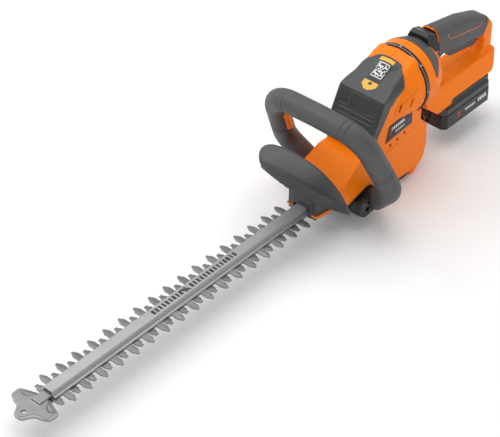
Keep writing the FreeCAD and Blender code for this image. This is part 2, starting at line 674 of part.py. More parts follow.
def housing(screw_wells):
    outer = body_form(0)
    room = body_form(-WALL)
    toe = slab_xz([(BODY_REAR - 13.0, -14.0), (BODY_REAR - 6.0, FLOOR_Z + 4.0), (BODY_REAR, FLOOR_Z),
                   (BODY_REAR + 10.0, FLOOR_Z), (BODY_REAR + 14.0, BODY_BOTTOM + 1.0)],
                  -BODY_HALF + 7.0, BODY_HALF - 7.0)
    posts = [rod(6.0, 2 * BODY_HALF - 4.0, V(x, -BODY_HALF + 2.0, z), V(0, 1, 0)) for x, z in bosses()]
    ring_wall = rod(RING_R - 2.0, 3.0, V(CROWN_X + 0.3, 0, SWIVEL_Z), V(1, 0, 0))
    shell = outer.cut(cut(room, [ring_wall] + posts)).fuse(toe)
    hub = rod(SWIVEL_SHAFT_R - 6.0, 40.0, V(CROWN_X - 20.0, 0, SWIVEL_Z), V(1, 0, 0))
    front = mid(PAN_BACK - 1.0, BODY_FRONT + 5.0, PAN_HALF + 3.2, BODY_BOTTOM - 1, MOTOR_Z + 4.0)
    lid_way = mid(PAN_BACK - 1.0, BODY_FRONT + 5.0, PAN_HALF + 3.2, PAN_FLOOR - 3.2, MOTOR_Z + 8.0)
    heads = [rod(4.0, BODY_HALF, V(x, -27.0, z), V(0, -1, 0)) for x, z in bosses() if screw_wells]
    skin = cover_region().cut(body_form(-SKIN))
    swivel = rod(RING_R + 2 * GAP, 60.0, V(CROWN_X, 0, SWIVEL_Z), V(-1, 0, 0))
    tools = [hub, front, lid_way, skin, swivel] + heads + housing_openings() + housing_screws()
    return cut(shell, tools + base_screws())


def housing_half(side):
    """Right half with the screw wells, or the left half with pilot holes only."""
    keep = block(-400.0, 100.0, 0, -100.0, -100.0, 300.0)
    half = housing(side < 0).common(keep)
    return mirror(half) if side > 0 else half


def motor_cover():
    form = body_form(SKIN * 0.8).cut(body_form(-SKIN))
    return form.common(cover_region())


def name_plate(side):
    outline = [(-150.0, 94.0), (-205.0, 97.0), (-205.0, 71.0), (-141.0, 66.0)]
    return slab_xz(outline, side * BODY_HALF, side * (BODY_HALF + 0.9)).cut(crown_form(0))


def base_plate():
    """Dark foot that the tool stands on."""
    x0, x1 = BODY_REAR + 14.6, BODY_FRONT - 8.0
    half = BODY_HALF - 10.0
    plate = slab_xz([(x0, BODY_BOTTOM), (x0, FLOOR_Z), (x1 - 8.0, FLOOR_Z), (x1, FLOOR_Z + 6.0),
                     (x1, BODY_BOTTOM)], -half, half)
    room = mid(x0 + 4.0, x1 - 10.0, half - 4.0, FLOOR_Z + 3.0, BODY_BOTTOM + 1)
    posts = [rod(5.0, FOOT_DROP, V(x, y, FLOOR_Z), V(0, 0, 1)) for x, y in base_points()]
    body = plate.cut(room).fuse(posts).removeSplitter()
    wells = [rod(4.0, 8.0, V(x, y, FLOOR_Z - 1), V(0, 0, 1)) for x, y in base_points()]
    return cut(body, wells + base_screws())


def base_points():
    return [(x, y) for x in (BODY_FRONT - 30.0, BODY_REAR + 28.0) for y in (-20.0, 20.0)]


def base_screws():
    screws = []
    for x, y in base_points():
        shank = rod(1.8, 12.0, V(x, y, FLOOR_Z + 7.0), V(0, 0, 1))
        head = rod(3.6, 2.2, V(x, y, FLOOR_Z + 7.0), V(0, 0, 1))
        screws.append(shank.fuse(head).removeSplitter())
    return screws


def control_board():
    board = block(-216.0, -214.4, -26.0, 26.0, 2.0, 66.0)
    chips = [block(-214.4, -211.0, y - 5.0, y + 5.0, z, z + 9.0)
             for y, z in ((-14.0, 10.0), (2.0, 28.0), (14.0, 48.0))]
    return fuse([board] + chips)


# ---------------------------------------------------------------- front handle
def lean(shape):
    shape = shape.copy()
    shape.rotate(V(0, 0, 0), V(0, 1, 0), LOOP_LEAN)
    shape.translate(V(LOOP_X, 0, 0))
    return shape


def loop_points():
    half = [V(0, LOOP_FOOT_Y, LOOP_FOOT_Z), V(0, LOOP_WIDE, LOOP_WIDE_Z), V(0, LOOP_TOP_Y, LOOP_TOP_Z)]
    top = [V(0, 0, LOOP_TOP_Z + LOOP_CROWN)]
    return half + top + [V(0, -p.y, p.z) for p in reversed(half)]


def loop_path():
    """Straight runs joined by tangent arcs, in the upright plane X = 0."""
    points = loop_points()
    bends = [LOOP_BEND, LOOP_BEND, 4 * LOOP_BEND, LOOP_BEND, LOOP_BEND]
    edges, here = [], points[0]
    for before, corner, after, r in zip(points, points[1:], points[2:], bends):
        a, b = (before - corner).normalize(), (after - corner).normalize()
        half_angle = math.acos(max(-1.0, min(1.0, a.dot(b)))) / 2
        reach = r / math.tan(half_angle)
        start, end = corner + a * reach, corner + b * reach
        inward = (a + b).normalize()
        middle = corner + inward * (r / math.sin(half_angle) - r)
        edges.append(Part.LineSegment(here, start).toShape())
        edges.append(Part.Arc(start, middle, end).toShape())
        here = end
    edges.append(Part.LineSegment(here, points[-1]).toShape())
    return Part.Wire(edges)


def loop_tube(r):
    path = loop_path()
    start = path.Vertexes[0].Point
    points = loop_points()
    direction = (points[1] - points[0]).normalize()
    circle = Part.Wire(Part.makeCircle(r, start, direction))
    return path.makePipeShell([circle], True, False)


def leg_frame():
    """Foot point and direction of the right leg's straight run, in the upright plane."""
    low, high = V(0, -LOOP_WIDE, LOOP_WIDE_Z), V(0, -LOOP_TOP_Y, LOOP_TOP_Z)
    along = (high - low).normalize()
    inward = V(0, along.z, -along.y)
    return low, high, along, inward


def paddle_form(grow, press):
    """Long rounded switch bar on the inner side of the right leg."""
    low, high, along, inward = leg_frame()
    bottom = high - along * (LOOP_BEND * 0.82 + PADDLE_LENGTH)
    core = bottom + inward * (LOOP_TUBE_R + 3.0 - PADDLE_HALF - press)
    bar = rod(PADDLE_HALF + grow, PADDLE_LENGTH - 2 * PADDLE_HALF, core + along * PADDLE_HALF, along)
    ends = [Part.makeSphere(PADDLE_HALF + grow, core + along * s)
            for s in (PADDLE_HALF, PADDLE_LENGTH - PADDLE_HALF)]
    return fuse([bar] + ends)


def handle_shells():
    tube = loop_tube(LOOP_TUBE_R)
    room = loop_tube(LOOP_TUBE_R - LOOP_WALL)
    pocket = fuse([paddle_form(GAP, 0), paddle_form(GAP, PADDLE_TRAVEL + 0.2)])
    shell = tube.cut(room).cut(pocket)
    front = shell.common(block(0, 60.0, -200.0, 200.0, -80.0, 260.0))
    rear = shell.common(block(-60.0, 0, -200.0, 200.0, -80.0, 260.0))
    return lean(front), lean(rear)


def handle_screw_points():
    return [(LOOP_TOP_Y - 8.0, LOOP_TOP_Z - 10.0), (LOOP_WIDE - 2.6, LOOP_WIDE_Z + 12.0),
            (LOOP_FOOT_Y + 9.0, LOOP_FOOT_Z + 12.0)]


def handle_screws():
    screws = []
    for y, z in handle_screw_points():
        for s in (-1, 1):
            shank = rod(1.8, 22.0, V(-9.0, s * y, z), V(1, 0, 0))
            head = rod(3.4, 2.4, V(-11.4, s * y, z), V(1, 0, 0))
            screws.append(lean(shank.fuse(head).removeSplitter()))
    return screws


def handle_screw_posts():
    """Tubular posts, one in each shell, that the handle's screws pull together."""
    posts = []
    for y, z in handle_screw_points():
        for s in (-1, 1):
            post = rod(5.0, LOOP_TUBE_R * 2, V(-LOOP_TUBE_R, s * y, z), V(1, 0, 0))
            posts.append(post)
    return posts


def handle_bracket(side):
    """Dark arm that joins the foot of the loop to the gearbox."""
    inner = PAN_HALF + 3.4
    y0, y1 = side * inner, side * (LOOP_FOOT_Y + 4.0)
    profile = [(-110.0, 8.0), (-66.0, 4.0), (-60.0, -14.0), (-74.0, -25.0), (-112.0, -22.0),
               (-122.0, -8.0)]
    arm = slab_xz(profile, y0, y1)
    seat = lean(loop_tube(LOOP_TUBE_R + 0.02))
    hole = rod(4.5, 6.0, V(-80.0, y1 - side * 6.0, -12.0), V(0, side, 0))
    flank = mid(-200.0, BODY_FRONT + 0.1, BODY_HALF, -60.0, 100.0)
    return cut(arm, [seat, hole, bracket_screw(side), gear_cover_space(), flank])


def gear_cover_space():
    back = BODY_FRONT
    low = NOSE_BOTTOM + 7.6
    return slab_xz([(0, low - 20), (0, 90), (back - 40, 90), (back - 40, low + 16.4), (back, low + 16.4),
                    (-50.0, low + 3.4)], -90.0, 90.0).common(mid(-200, 0, 49.0, low + 2.9, 200.0))


def bracket_screw(side):
    y = LOOP_FOOT_Y - 2.0
    shank = rod(2.4, y - PAN_HALF, V(-80.0, side * y, -12.0), V(0, -side, 0))
    head = rod(4.5, 3.0, V(-80.0, side * y, -12.0), V(0, -side, 0))
    return shank.fuse(head).removeSplitter()


# ---------------------------------------------------------------- swivel and rear handle
COLLAR_X = CROWN_X - RING_WIDE - GAP


def angle_ring():
    """Black scale ring fixed to the crown, with a journal that the handle turns on."""
    rim = rod(RING_R, RING_WIDE, V(CROWN_X, 0, SWIVEL_Z), V(-1, 0, 0))
    journal = rod(SWIVEL_SHAFT_R, 14.0, V(CROWN_X - RING_WIDE, 0, SWIVEL_Z), V(-1, 0, 0))
    lip = rod(SWIVEL_SHAFT_R + 4.0, 3.0, V(CROWN_X - RING_WIDE - 11.0, 0, SWIVEL_Z), V(-1, 0, 0))
    bore = rod(SWIVEL_SHAFT_R - 6.0, 60.0, V(CROWN_X + 20.0, 0, SWIVEL_Z), V(-1, 0, 0))
    notches = []
    for n in range(5):
        a = math.radians(90 + 45 * (n - 2))
        x = COLLAR_X - 11.6
        notches.append(rod(2.2, 8.0, V(x + 4.0, (SWIVEL_SHAFT_R + 4.0) * math.cos(a),
                                       SWIVEL_Z + (SWIVEL_SHAFT_R + 4.0) * math.sin(a)), V(-1, 0, 0)))
    return cut(rim.fuse([journal, lip]), [bore] + notches).removeSplitter()


def handle_side(inset):
    """Side outline of the rear handle behind the collar, without its opening."""
    i = inset
    back = GRIP_TOP_BACK
    return [(COLLAR_X - 22.0, NECK_TOP - i), (GRIP_FRONT + 5.0 + i, NECK_TOP - i),
            (GRIP_FRONT + 5.0 + i, GRIP_TOP_FRONT + 1.0 - i), (GRIP_FRONT, GRIP_TOP_FRONT + 1.0 - i),
            (GRIP_FRONT - 1.0, GRIP_TOP_FRONT - i), (-370.0, 165.0 - i),
            (OPENING_BACK + 10.0, back - 3.0 - i), (HANDLE_BACK + 22.0, back - 15.0 - i),
            (HANDLE_BACK + 9.0 + i, back - 34.0),
            (HANDLE_BACK + 5.0 + i, 98.0), (HANDLE_BACK + i, PACK_TOP + 9.0),
            (HANDLE_BACK + 6.0 + i, PACK_TOP + 0.6 + i), (PACK_STEP + 1.0, PACK_TOP + 0.6 + i),
            (PACK_STEP + 1.0 + i, PACK_SPLIT + 11.0 + i), (PACK_FRONT + 12.0 - i, PACK_SPLIT + 11.0 + i),
            (-262.0 - i, 58.0), (COLLAR_X - 26.0 - i, SWIVEL_Z - 30.0)]


def handle_opening(inset):
    i = inset
    return [(OPENING_FRONT + i, BASE_TOP - i), (OPENING_FRONT + i + 4.0, 128.0),
            (OPENING_FRONT - 12.0, 133.0 + i), (OPENING_BACK + 8.0, 115.0 + i), (OPENING_BACK - i, 104.0),
            (OPENING_BACK - i, BASE_TOP + 10.0 - i), (OPENING_BACK + 12.0, BASE_TOP - i)]


def round_end(half, low, high):
    """Plan outline with a round rear end, as a plate from low to high."""
    turns = [math.radians(15.0 * n) for n in range(7)]
    curve = [(HANDLE_BACK + half * (1 - math.sin(a)), half * math.cos(a)) for a in turns[:-1]]
    side = [(-200.0, half)] + curve
    return slab_xy(both_sides(side + [(HANDLE_BACK, 0.01)]), low, high)


def grip_hull(grow):
    """Round-backed body that the grip, its pillars and its soft skin are cut from."""
    g = grow
    round_r = GRIP_HALF - 2.5 + g
    return loft([rounded_section(x, GRIP_HALF + g, -60.0, top + g, 3.0, round_r)
                 for x, top in ((-240.0, GRIP_TOP_FRONT + 1.2), (GRIP_FRONT, GRIP_TOP_FRONT + 1.2),
                                (GRIP_FRONT - 1.0, GRIP_TOP_FRONT), (-370.0, 165.0),
                                (OPENING_BACK + 10.0, GRIP_TOP_BACK - 3.0), (-470.0, GRIP_TOP_BACK - 27.0))])


def handle_form(inset):
    i = inset
    side = handle_side(i)
    narrow = slab_xz(side, -60.0, 60.0).common(grip_hull(-i)).common(round_end(GRIP_HALF - i, -60.0, 240.0))
    half = BASE_HALF - i
    saddle = slab_yz(across([(half, -60.0), (half, 47.0), (half - 9.0, BASE_TOP - i)]), -500.0, -200.0)
    wide = slab_xz(side, -half, half).common(round_end(half, -60.0, 240.0))
    base_zone = slab_xz([(-250.0, BASE_TOP - i), (HANDLE_BACK + 6.0 + i, BASE_TOP - i),
                         (HANDLE_BACK + 3.0 + i, 20.0), (-250.0, 20.0)], -60.0, 60.0)
    front_zone = slab_xz([(-240.0, 150.0 - i), (-262.0 - i, 150.0 - i), (-290.0 - i, 120.0),
                          (-294.0 - i, 60.0), (-240.0, 60.0)], -BASE_HALF + 5.0 + i, BASE_HALF - 5.0 - i)
    front = slab_xz(side, -60.0, 60.0).common(front_zone)
    body = fuse([narrow, wide.common(saddle).common(base_zone), front])
    rings = [(x, r - i) for x, r in collar_rings()]
    cone = loft([Part.Wire(Part.makeCircle(r, V(x, 0, SWIVEL_Z), V(1, 0, 0))) for x, r in rings])
    cone = cone.cut(block(-300.0, COLLAR_X - 20.0, -80.0, 80.0, 0.0, 60.0))
    return body.fuse(cone).removeSplitter().cut(slab_xz(handle_opening(i), -60.0, 60.0))


def collar_rings():
    """Places and radii of the collar's round sections."""
    return ((COLLAR_X, RING_R - 0.6), (COLLAR_X - 18.0, RING_R - 1.2), (COLLAR_X - 42.0, 48.0),
            (COLLAR_X - 62.0, 30.0))


def collar_room():
    """Space for the journal and its lip inside the collar."""
    parts = [rod(SWIVEL_SHAFT_R + FIT / 2, 60.0, V(COLLAR_X + 20.0, 0, SWIVEL_Z), V(-1, 0, 0)),
             rod(SWIVEL_SHAFT_R + 4.0 + GAP, 3.0 + 2 * GAP,
                 V(CROWN_X - RING_WIDE - 11.0 + GAP, 0, SWIVEL_Z), V(-1, 0, 0))]
    return parts


def rail_room():
    return [mid(HANDLE_BACK - 5.0, PACK_STEP - 1.0 + GAP, RAIL_HALF + GAP, PACK_TOP, PACK_TOP + 6.0 + GAP)]


def slider_form(grow):
    """Saddle-shaped lock that sits on the neck, with a stem that reaches the ring."""
    g = grow
    x = COLLAR_X - 38.0
    arch = slab_yz(across([(27.0 + g, NECK_TOP - 7.0 - g), (15.0 + g, NECK_TOP + 22.0 + g)]),
                   x - 24.0 - g, x + g)
    wedge = slab_xz([(x + 1, 140.0), (x - 2.0 + g, NECK_TOP + 18.0 + g), (x - 8.0, NECK_TOP + 22.0 + g),
                     (x - 20.0, NECK_TOP + 16.0 + g), (x - 40.0, NECK_TOP + 13.0 + g), (x - 40.0, 140.0)],
                    -60.0, 60.0)
    neck = slab_xz([(x + 1, 100.0), (x + 1, NECK_TOP + 0.5 - g), (x - 50.0, NECK_TOP + 0.5 - g),
                    (x - 50.0, 100.0)], -GRIP_HALF - 0.5 + g, GRIP_HALF + 0.5 - g)
    cone = loft([Part.Wire(Part.makeCircle(r + 1.1 - g, V(c, 0, SWIVEL_Z), V(1, 0, 0)))
                 for c, r in collar_rings()])
    stem = mid(x - 14.0 - g, x - 4.0 + g, 7.0 + g, NECK_TOP - 9.0, NECK_TOP + 2.0)
    return arch.common(wedge).cut(neck).cut(cone).fuse(stem).removeSplitter()


def slider_room():
    """Space that the lock needs over its whole travel."""
    places = []
    for n in range(4):
        place = slider_form(GAP)
        place.translate(V(-SLIDER_TRAVEL * n / 3, 0, 0))
        places.append(place)
    return fuse(places)


def rear_handle():
    outer = handle_form(0)
    room = handle_form(WALL)
    shell = outer.cut(room)
    wall = rod(RING_R - 2.0, 6.0, V(COLLAR_X, 0, SWIVEL_Z), V(-1, 0, 0))
    tools = collar_room() + rail_room() + [slider_room(), trigger_room(), grip_skin(), grey_band()]
    tools += [rod(3.6, BASE_HALF, V(x, -13.0, z), V(0, -1, 0)) for x, z in rear_boss_points()]
    posts = [rod(5.5, 2 * BASE_HALF, V(x, -BASE_HALF, z), V(0, 1, 0)).common(outer)
             for x, z in rear_boss_points()]
    return cut(shell.fuse([wall] + posts), tools + rear_handle_screws())


def rear_boss_points():
    return ((-285.0, 84.0), (-432.0, 70.0), (-300.0, 158.0), (-434.0, 118.0))


def rear_handle_screws():
    screws = []
    for x, z in rear_boss_points():
        shank = rod(1.8, 18.0, V(x, -10.6, z), V(0, 1, 0))
        head = rod(3.6, 2.4, V(x, -13.0, z), V(0, 1, 0))
        screws.append(shank.fuse(head).removeSplitter())
    return screws


def rear_handle_half(side):
    keep = block(-600.0, 0, 0, side * 100.0, -100.0, 300.0)
    return rear_handle().common(keep)


def grip_skin():
    """Soft overmould round the grip: the outer 1.6 mm of it, and a little proud."""
    thick, proud = 1.6, 0.8
    zone = slab_xz([(GRIP_FRONT, 215.0), (OPENING_BACK + 2.0, 190.0), (OPENING_BACK - 10.0, 150.0),
                    (OPENING_BACK - 8.0, 132.0), (OPENING_BACK + 5.0, 112.0), (OPENING_BACK + 14.0, 100.0),
                    (OPENING_FRONT - 2.0, 118.0), (GRIP_FRONT, 122.0)], -40.0, 40.0)

    def layer(inset):
        form = slab_xz(handle_side(inset), -60.0, 60.0).common(grip_hull(-inset))
        form = form.common(round_end(GRIP_HALF - inset, -60.0, 240.0))
        return form.cut(slab_xz(handle_opening(inset), -60, 60))

    return layer(-proud).common(zone).cut(layer(thick))


def grip_overmould():
    return cut(grip_skin(), [trigger_room()])


TRIGGER_PIVOT = V(-330.0, 0, 140.0)


def trigger_outline(grow):
    """Side outline of the long finger lever under the grip."""
    g = grow
    return [(-322.0 + g, 142.0 + g), (-410.0 - g, 122.0 + g), (-412.0 - g, 104.0 - g),
            (-400.0, 99.0 - g), (-338.0, 110.0 - g), (-322.0 + g, 124.0 - g)]


def hull(points):
    """Convex outline round a set of points."""
    def chain(order):
        line = []
        for p in order:
            while len(line) > 1 and turn(line[-2], line[-1], p) <= 0:
                line.pop()
            line.append(p)
        return line[:-1]

    def turn(a, b, c):
        return (b[0] - a[0]) * (c[1] - a[1]) - (b[1] - a[1]) * (c[0] - a[0])

    ordered = sorted(points)
    return chain(ordered) + chain(ordered[::-1])


def trigger_room():
    """Space that the lever needs over its whole swing."""
    spots = []
    for n in range(TRIGGER_STEPS + 1):
        turned = Part.makePolygon([V(x, 0, z) for x, z in trigger_outline(GAP)])
        turned.rotate(TRIGGER_PIVOT, V(0, 1, 0), TRIGGER_SWING * n / TRIGGER_STEPS)
        spots += [(v.X, v.Z) for v in turned.Vertexes]
    half = TRIGGER_HALF + GAP
    return slab_xz(hull(spots), -half, half)


def trigger():
    lever = slab_xz(trigger_outline(0), -TRIGGER_HALF, TRIGGER_HALF)
    bore = rod(2.0 + FIT / 2, 2 * TRIGGER_HALF + 2, TRIGGER_PIVOT - V(0, TRIGGER_HALF + 1, 0), V(0, 1, 0))
    return lever.cut(bore)


def trigger_pin():
    return rod(2.0, 2 * GRIP_HALF - 2 * WALL, TRIGGER_PIVOT - V(0, GRIP_HALF - WALL, 0), V(0, 1, 0))


def trigger_spring():
    """Return spring between the finger lever and the roof of the grip."""
    low, high = 127.9, 152.0
    return coil_spring(3.0, 0.5, 7, V(-388.0, 0, low), high - low)


def rear_switch():
    body = mid(-372.0, -348.0, 5.0, 144.6, 158.0)
    return body


def swivel_slider():
    """Lock that is pulled back to let the handle turn."""
    return slider_form(0)


def grey_band():
    """Grey crescent let into the collar's shoulder, wide on top and running out to points at the sides."""
    x = COLLAR_X - 18.6
    skin = 2.4

    def shoulder(r_change):
        rings = [(c, r + r_change) for c, r in collar_rings()]
        return loft([Part.Wire(Part.makeCircle(r, V(c, 0, SWIVEL_Z), V(1, 0, 0))) for c, r in rings])

    zone = slab_xz([(x, 230.0), (x - 22.0, 230.0), (x - 22.0, SWIVEL_Z + 30.0), (x - 7.0, SWIVEL_Z + 13.0),
                    (x - 2.0, SWIVEL_Z + 11.0), (x, SWIVEL_Z + 18.0)], -70.0, 70.0)
    return shoulder(0.6).common(zone).cut(shoulder(-skin))


# ---------------------------------------------------------------- battery
def battery_lower():
    c = 7.0
    outline = both_sides([(PACK_FRONT, PACK_HALF - c), (PACK_FRONT - c, PACK_HALF),
                          (PACK_BACK + c, PACK_HALF), (PACK_BACK, PACK_HALF - c)])
    body = slab_xy(outline, PACK_BOTTOM, PACK_SPLIT)
    room = mid(PACK_BACK + 3.0, PACK_FRONT - 8.0, PACK_HALF - 3.0, PACK_BOTTOM + 3.0, PACK_SPLIT + 1)
    latch = latch_form(GAP)
    return cut(body, [room, latch] + battery_screws())


def battery_upper():
    c = 7.0
    low = both_sides([(PACK_FRONT, PACK_HALF - c - 1.0), (PACK_FRONT - c, PACK_HALF - 1.0),
                      (PACK_BACK + c, PACK_HALF - 1.0), (PACK_BACK, PACK_HALF - c - 1.0)])
    deck = slab_xy(low, PACK_SPLIT, PACK_SPLIT + 10.5)
    tower = mid(PACK_BACK + 2.0, PACK_STEP, PACK_HALF - 6.0, PACK_SPLIT + 10.5, PACK_TOP)
    rail = mid(PACK_BACK + 6.0, PACK_STEP - 1.0, RAIL_HALF, PACK_TOP, PACK_TOP + 6.0)
    room = mid(PACK_BACK + 6.0, PACK_STEP - 4.0, PACK_HALF - 10.0, PACK_SPLIT - 1, PACK_TOP - 3.0)
    low_room = mid(PACK_STEP - 4.0, PACK_FRONT - 10.0, PACK_HALF - 10.0, PACK_SPLIT - 1, PACK_SPLIT + 7.5)
    body = fuse([deck, tower, rail])
    slots = [block(PACK_STEP - 22.0, PACK_STEP, y - 1.2, y + 1.2, PACK_TOP + 1.5, PACK_TOP + 7.0)
             for y in (-12.0, -4.0, 4.0, 12.0)]
    return cut(body, [room, low_room, latch_form(GAP)] + slots + battery_screws())


def battery_cells():
    z = PACK_BOTTOM + 3.2 + CELL_R
    length = 65.0
    x0 = PACK_BACK + 9.0 + CELL_R
    step = (PACK_FRONT - 12.0 - x0 - CELL_R) / 4
    cells = []
    for n in range(5):
        cells.append(rod(CELL_R, length, V(x0 + step * n, -length / 2, z), V(0, 1, 0)))
    return cells


def battery_board():
    board = mid(PACK_BACK + 10.0, PACK_STEP - 8.0, PACK_HALF - 14.0, PACK_SPLIT + 2.0, PACK_SPLIT + 3.6)
    tabs = [block(PACK_STEP - 20.0, PACK_STEP - 10.0, y - 0.4, y + 0.4, PACK_SPLIT + 3.6, PACK_SPLIT + 12.0)
            for y in (-12.0, -4.0, 4.0, 12.0)]
    return fuse([board] + tabs)


def battery_screws():
    screws = []
    for x in (PACK_BACK + 5.0, PACK_FRONT - 6.5):
        for y in (-PACK_HALF + 9.0, PACK_HALF - 9.0):
            shank = rod(1.4, 26.0, V(x, y, PACK_BOTTOM + 6.0), V(0, 0, 1))
            head = rod(2.8, 2.0, V(x, y, PACK_BOTTOM + 4.0), V(0, 0, 1))
            screws.append(shank.fuse(head).removeSplitter())
    return screws


LATCH_WELL = 8.0


def latch_form(grow):
    g = grow
    x = PACK_FRONT
    return mid(x - 4.0 - g, x + 1.6 + g, 10.0 + g, PACK_SPLIT - 14.0 - g - (LATCH_WELL if grow else 0),
               PACK_SPLIT + 6.0 + g)


def battery_latch():
    body = latch_form(0)
    ribs = [mid(PACK_FRONT + 1.6, PACK_FRONT + 2.4, 9.0, PACK_SPLIT - 12.0 + 3.0 * n,
                PACK_SPLIT - 10.6 + 3.0 * n) for n in range(5)]
    return fuse([body] + ribs)


def terminal_block():
    body = mid(PACK_STEP + 0.4, PACK_STEP + 10.0, RAIL_HALF, PACK_TOP + 3.4, PACK_TOP + 18.0)
    return body


def latch_spring():
    """Return spring under the latch button."""
    low = PACK_SPLIT - 14.0 - LATCH_WELL
    return coil_spring(1.9, 0.4, 4, V(PACK_FRONT - 1.9, 0, low), LATCH_WELL - FIT)


# ---------------------------------------------------------------- all nodes
def nodes():
    front_shell, rear_shell = handle_shells()
    posts = [lean(p) for p in handle_screw_posts()]
    screws = handle_screws()
    inner = lean(loop_tube(LOOP_TUBE_R - LOOP_WALL))
    made = {}
    for name, shell, half in (("handle_shell_front", front_shell, block(0, 60, -200, 200, -80, 260)),
                              ("handle_shell_rear", rear_shell, block(-60, 0, -200, 200, -80, 260))):
        zone = lean(half)
        made[name] = cut(shell.fuse([p.common(inner).common(zone) for p in posts]), screws)
    made["front_switch"] = lean(paddle_form(0, 0))
    for name, side in (("left", 1), ("right", -1)):
        made["housing_" + name] = housing_half(side)
        made["handle_bracket_" + name] = handle_bracket(side)
        made["rear_handle_" + name] = rear_handle_half(side)
    single = [upper_blade, lower_blade, blade_bolts, blade_nuts, blade_cover, support_bar,
              tip_screws, tip_protector, crank_shaft, eccentric_spacer, crank_gear, bearings,
              pinion, motor_shaft, rotor_core, motor_magnets, motor_can, motor_end_cap,
              fan, gearbox_pan, gearbox_lid, gearbox_screws, nose_block, felt_seal, trim_frame,
              gear_cover, hand_guard, motor_cover, base_plate,
              control_board, angle_ring, grip_overmould, trigger, trigger_pin, rear_switch,
              swivel_slider, grey_band, rear_handle_screws, terminal_block, battery_lower,
              battery_upper, battery_cells, battery_board, battery_screws, battery_latch,
              latch_spring, trigger_spring]
    for make in single:
        made[make.__name__] = make()
    made["eccentrics"] = [eccentric(UPPER_Z, -1), eccentric(LOWER_Z, 1)]
    made["name_plates"] = [name_plate(1), name_plate(-1)]
    made["handle_screws"] = screws + [bracket_screw(1), bracket_screw(-1)]
    made["housing_screws"] = housing_screws() + base_screws() + guard_screws()
    return made


def main():
    os.makedirs("parts", exist_ok=True)
    for name, made in nodes().items():
        solids = made if isinstance(made, list) else made.Solids
        solids = [s for one in solids for s in one.Solids]
        shape = solids[0] if len(solids) == 1 else Part.makeCompound(solids)
        shape = shape.copy()
        shape.translate(PLACE)
        ok = all(s.isValid() for s in shape.Solids)
        print(f"{name:22} {len(shape.Solids)} solids  {shape.Volume / 1000:8.2f} cm3  "
              f"{'ok' if ok else 'INVALID'}")
        shape.exportStep("parts/" + name + ".step")


main()
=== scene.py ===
# %% [markdown]
# # A cordless hedge trimmer
# The design model brings in every solid at its real size and place, in metres. This lesson gives those
# solids the skin of the real tool: moulded orange shells, soft grey grips, ground steel and printed
# labels. Shapes that the design keeps plain, such as the front handle's grooved tube, are made anew here
# in exactly the room that the design gives them.

# %% Load the frame
import bpy
import bmesh
import json
import math
from mathutils import Matrix, Vector
from mathutils.bvhtree import BVHTree


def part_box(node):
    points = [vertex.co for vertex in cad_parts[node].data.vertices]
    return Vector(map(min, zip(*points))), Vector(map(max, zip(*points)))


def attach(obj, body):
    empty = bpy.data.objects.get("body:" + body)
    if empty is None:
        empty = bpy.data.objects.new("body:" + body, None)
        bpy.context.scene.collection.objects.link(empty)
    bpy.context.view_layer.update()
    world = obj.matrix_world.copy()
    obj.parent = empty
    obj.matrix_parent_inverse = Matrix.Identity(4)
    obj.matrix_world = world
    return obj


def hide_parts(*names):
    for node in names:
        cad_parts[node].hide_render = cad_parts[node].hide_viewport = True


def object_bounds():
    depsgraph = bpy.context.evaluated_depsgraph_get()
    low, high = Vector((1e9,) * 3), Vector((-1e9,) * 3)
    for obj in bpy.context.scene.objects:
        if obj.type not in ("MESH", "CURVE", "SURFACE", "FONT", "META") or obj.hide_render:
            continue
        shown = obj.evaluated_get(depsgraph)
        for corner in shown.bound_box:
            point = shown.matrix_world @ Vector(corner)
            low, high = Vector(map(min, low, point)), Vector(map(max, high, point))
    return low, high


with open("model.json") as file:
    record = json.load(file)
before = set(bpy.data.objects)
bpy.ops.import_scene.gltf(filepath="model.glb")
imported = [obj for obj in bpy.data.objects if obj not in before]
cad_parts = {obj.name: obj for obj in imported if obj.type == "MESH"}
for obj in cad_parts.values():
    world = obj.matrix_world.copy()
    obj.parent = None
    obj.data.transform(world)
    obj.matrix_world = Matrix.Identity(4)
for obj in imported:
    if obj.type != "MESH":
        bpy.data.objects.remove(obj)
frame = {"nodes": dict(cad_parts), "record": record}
cad_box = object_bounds()
nodes = frame["nodes"]
body_of_node = {n: b for b, ns in frame["record"]["behaviour"]["bodies"].items() for n in ns}
slot_of_node = {s["node"]: s["material_slot"] for s in frame["record"]["subparts"]}

# %% [markdown]
# The drawing of the tool measures from the front face of its nose, at the height of the blades. The
# frame has its origin elsewhere, so one datum turns a drawing size in millimetres into a frame place:
# the tip lies 576.4 mm ahead of the nose, and the foot 42 mm below the blades.

# %% Drawing datum
MM = 0.001
NOSE_TO_TIP, BLADES_ABOVE_FOOT = 576.4, 42.0
DATUM = Vector((cad_box[1].x - NOSE_TO_TIP * MM, 0.0, cad_box[0].z + BLADES_ABOVE_FOOT * MM))
SWIVEL_Z = 125.0          # height of the rear handle's turning axis
RING_X, RING_R = -219.0, 57.0


def at(x, y, z):
    """Frame place of a point given in drawing millimetres."""
    return Vector((x, y, z)) * MM + DATUM


print("datum", tuple(round(v, 5) for v in DATUM))

# %% [markdown]
# The tool lies on a pale floor under soft light. The camera looks from the front left, high up, through
# a long lens, so that the blade keeps nearly parallel edges.

# %% Camera
camera = bpy.data.objects.new("Camera", bpy.data.cameras.new("Camera"))
bpy.context.collection.objects.link(camera)
camera.location = (1.6148, 1.3930, 1.8250)
looking = Vector((-0.5755, -0.5135, -0.6365))
camera.rotation_mode = "QUATERNION"
camera.rotation_quaternion = looking.to_track_quat("-Z", "Y")
camera.data.sensor_width = 36.0
camera.data.lens = 136.08
camera.data.clip_end = 20.0
bpy.context.scene.camera = camera
bpy.context.scene.view_settings.view_transform = "Standard"
print("lens", round(camera.data.lens, 2), "mm")

# %% [markdown]
# A product shot has almost no shadow: large boxes of light from the left and above, a weak one in front,
# and a bright room around. The floor stays close to white and catches one soft grey pool of shade.

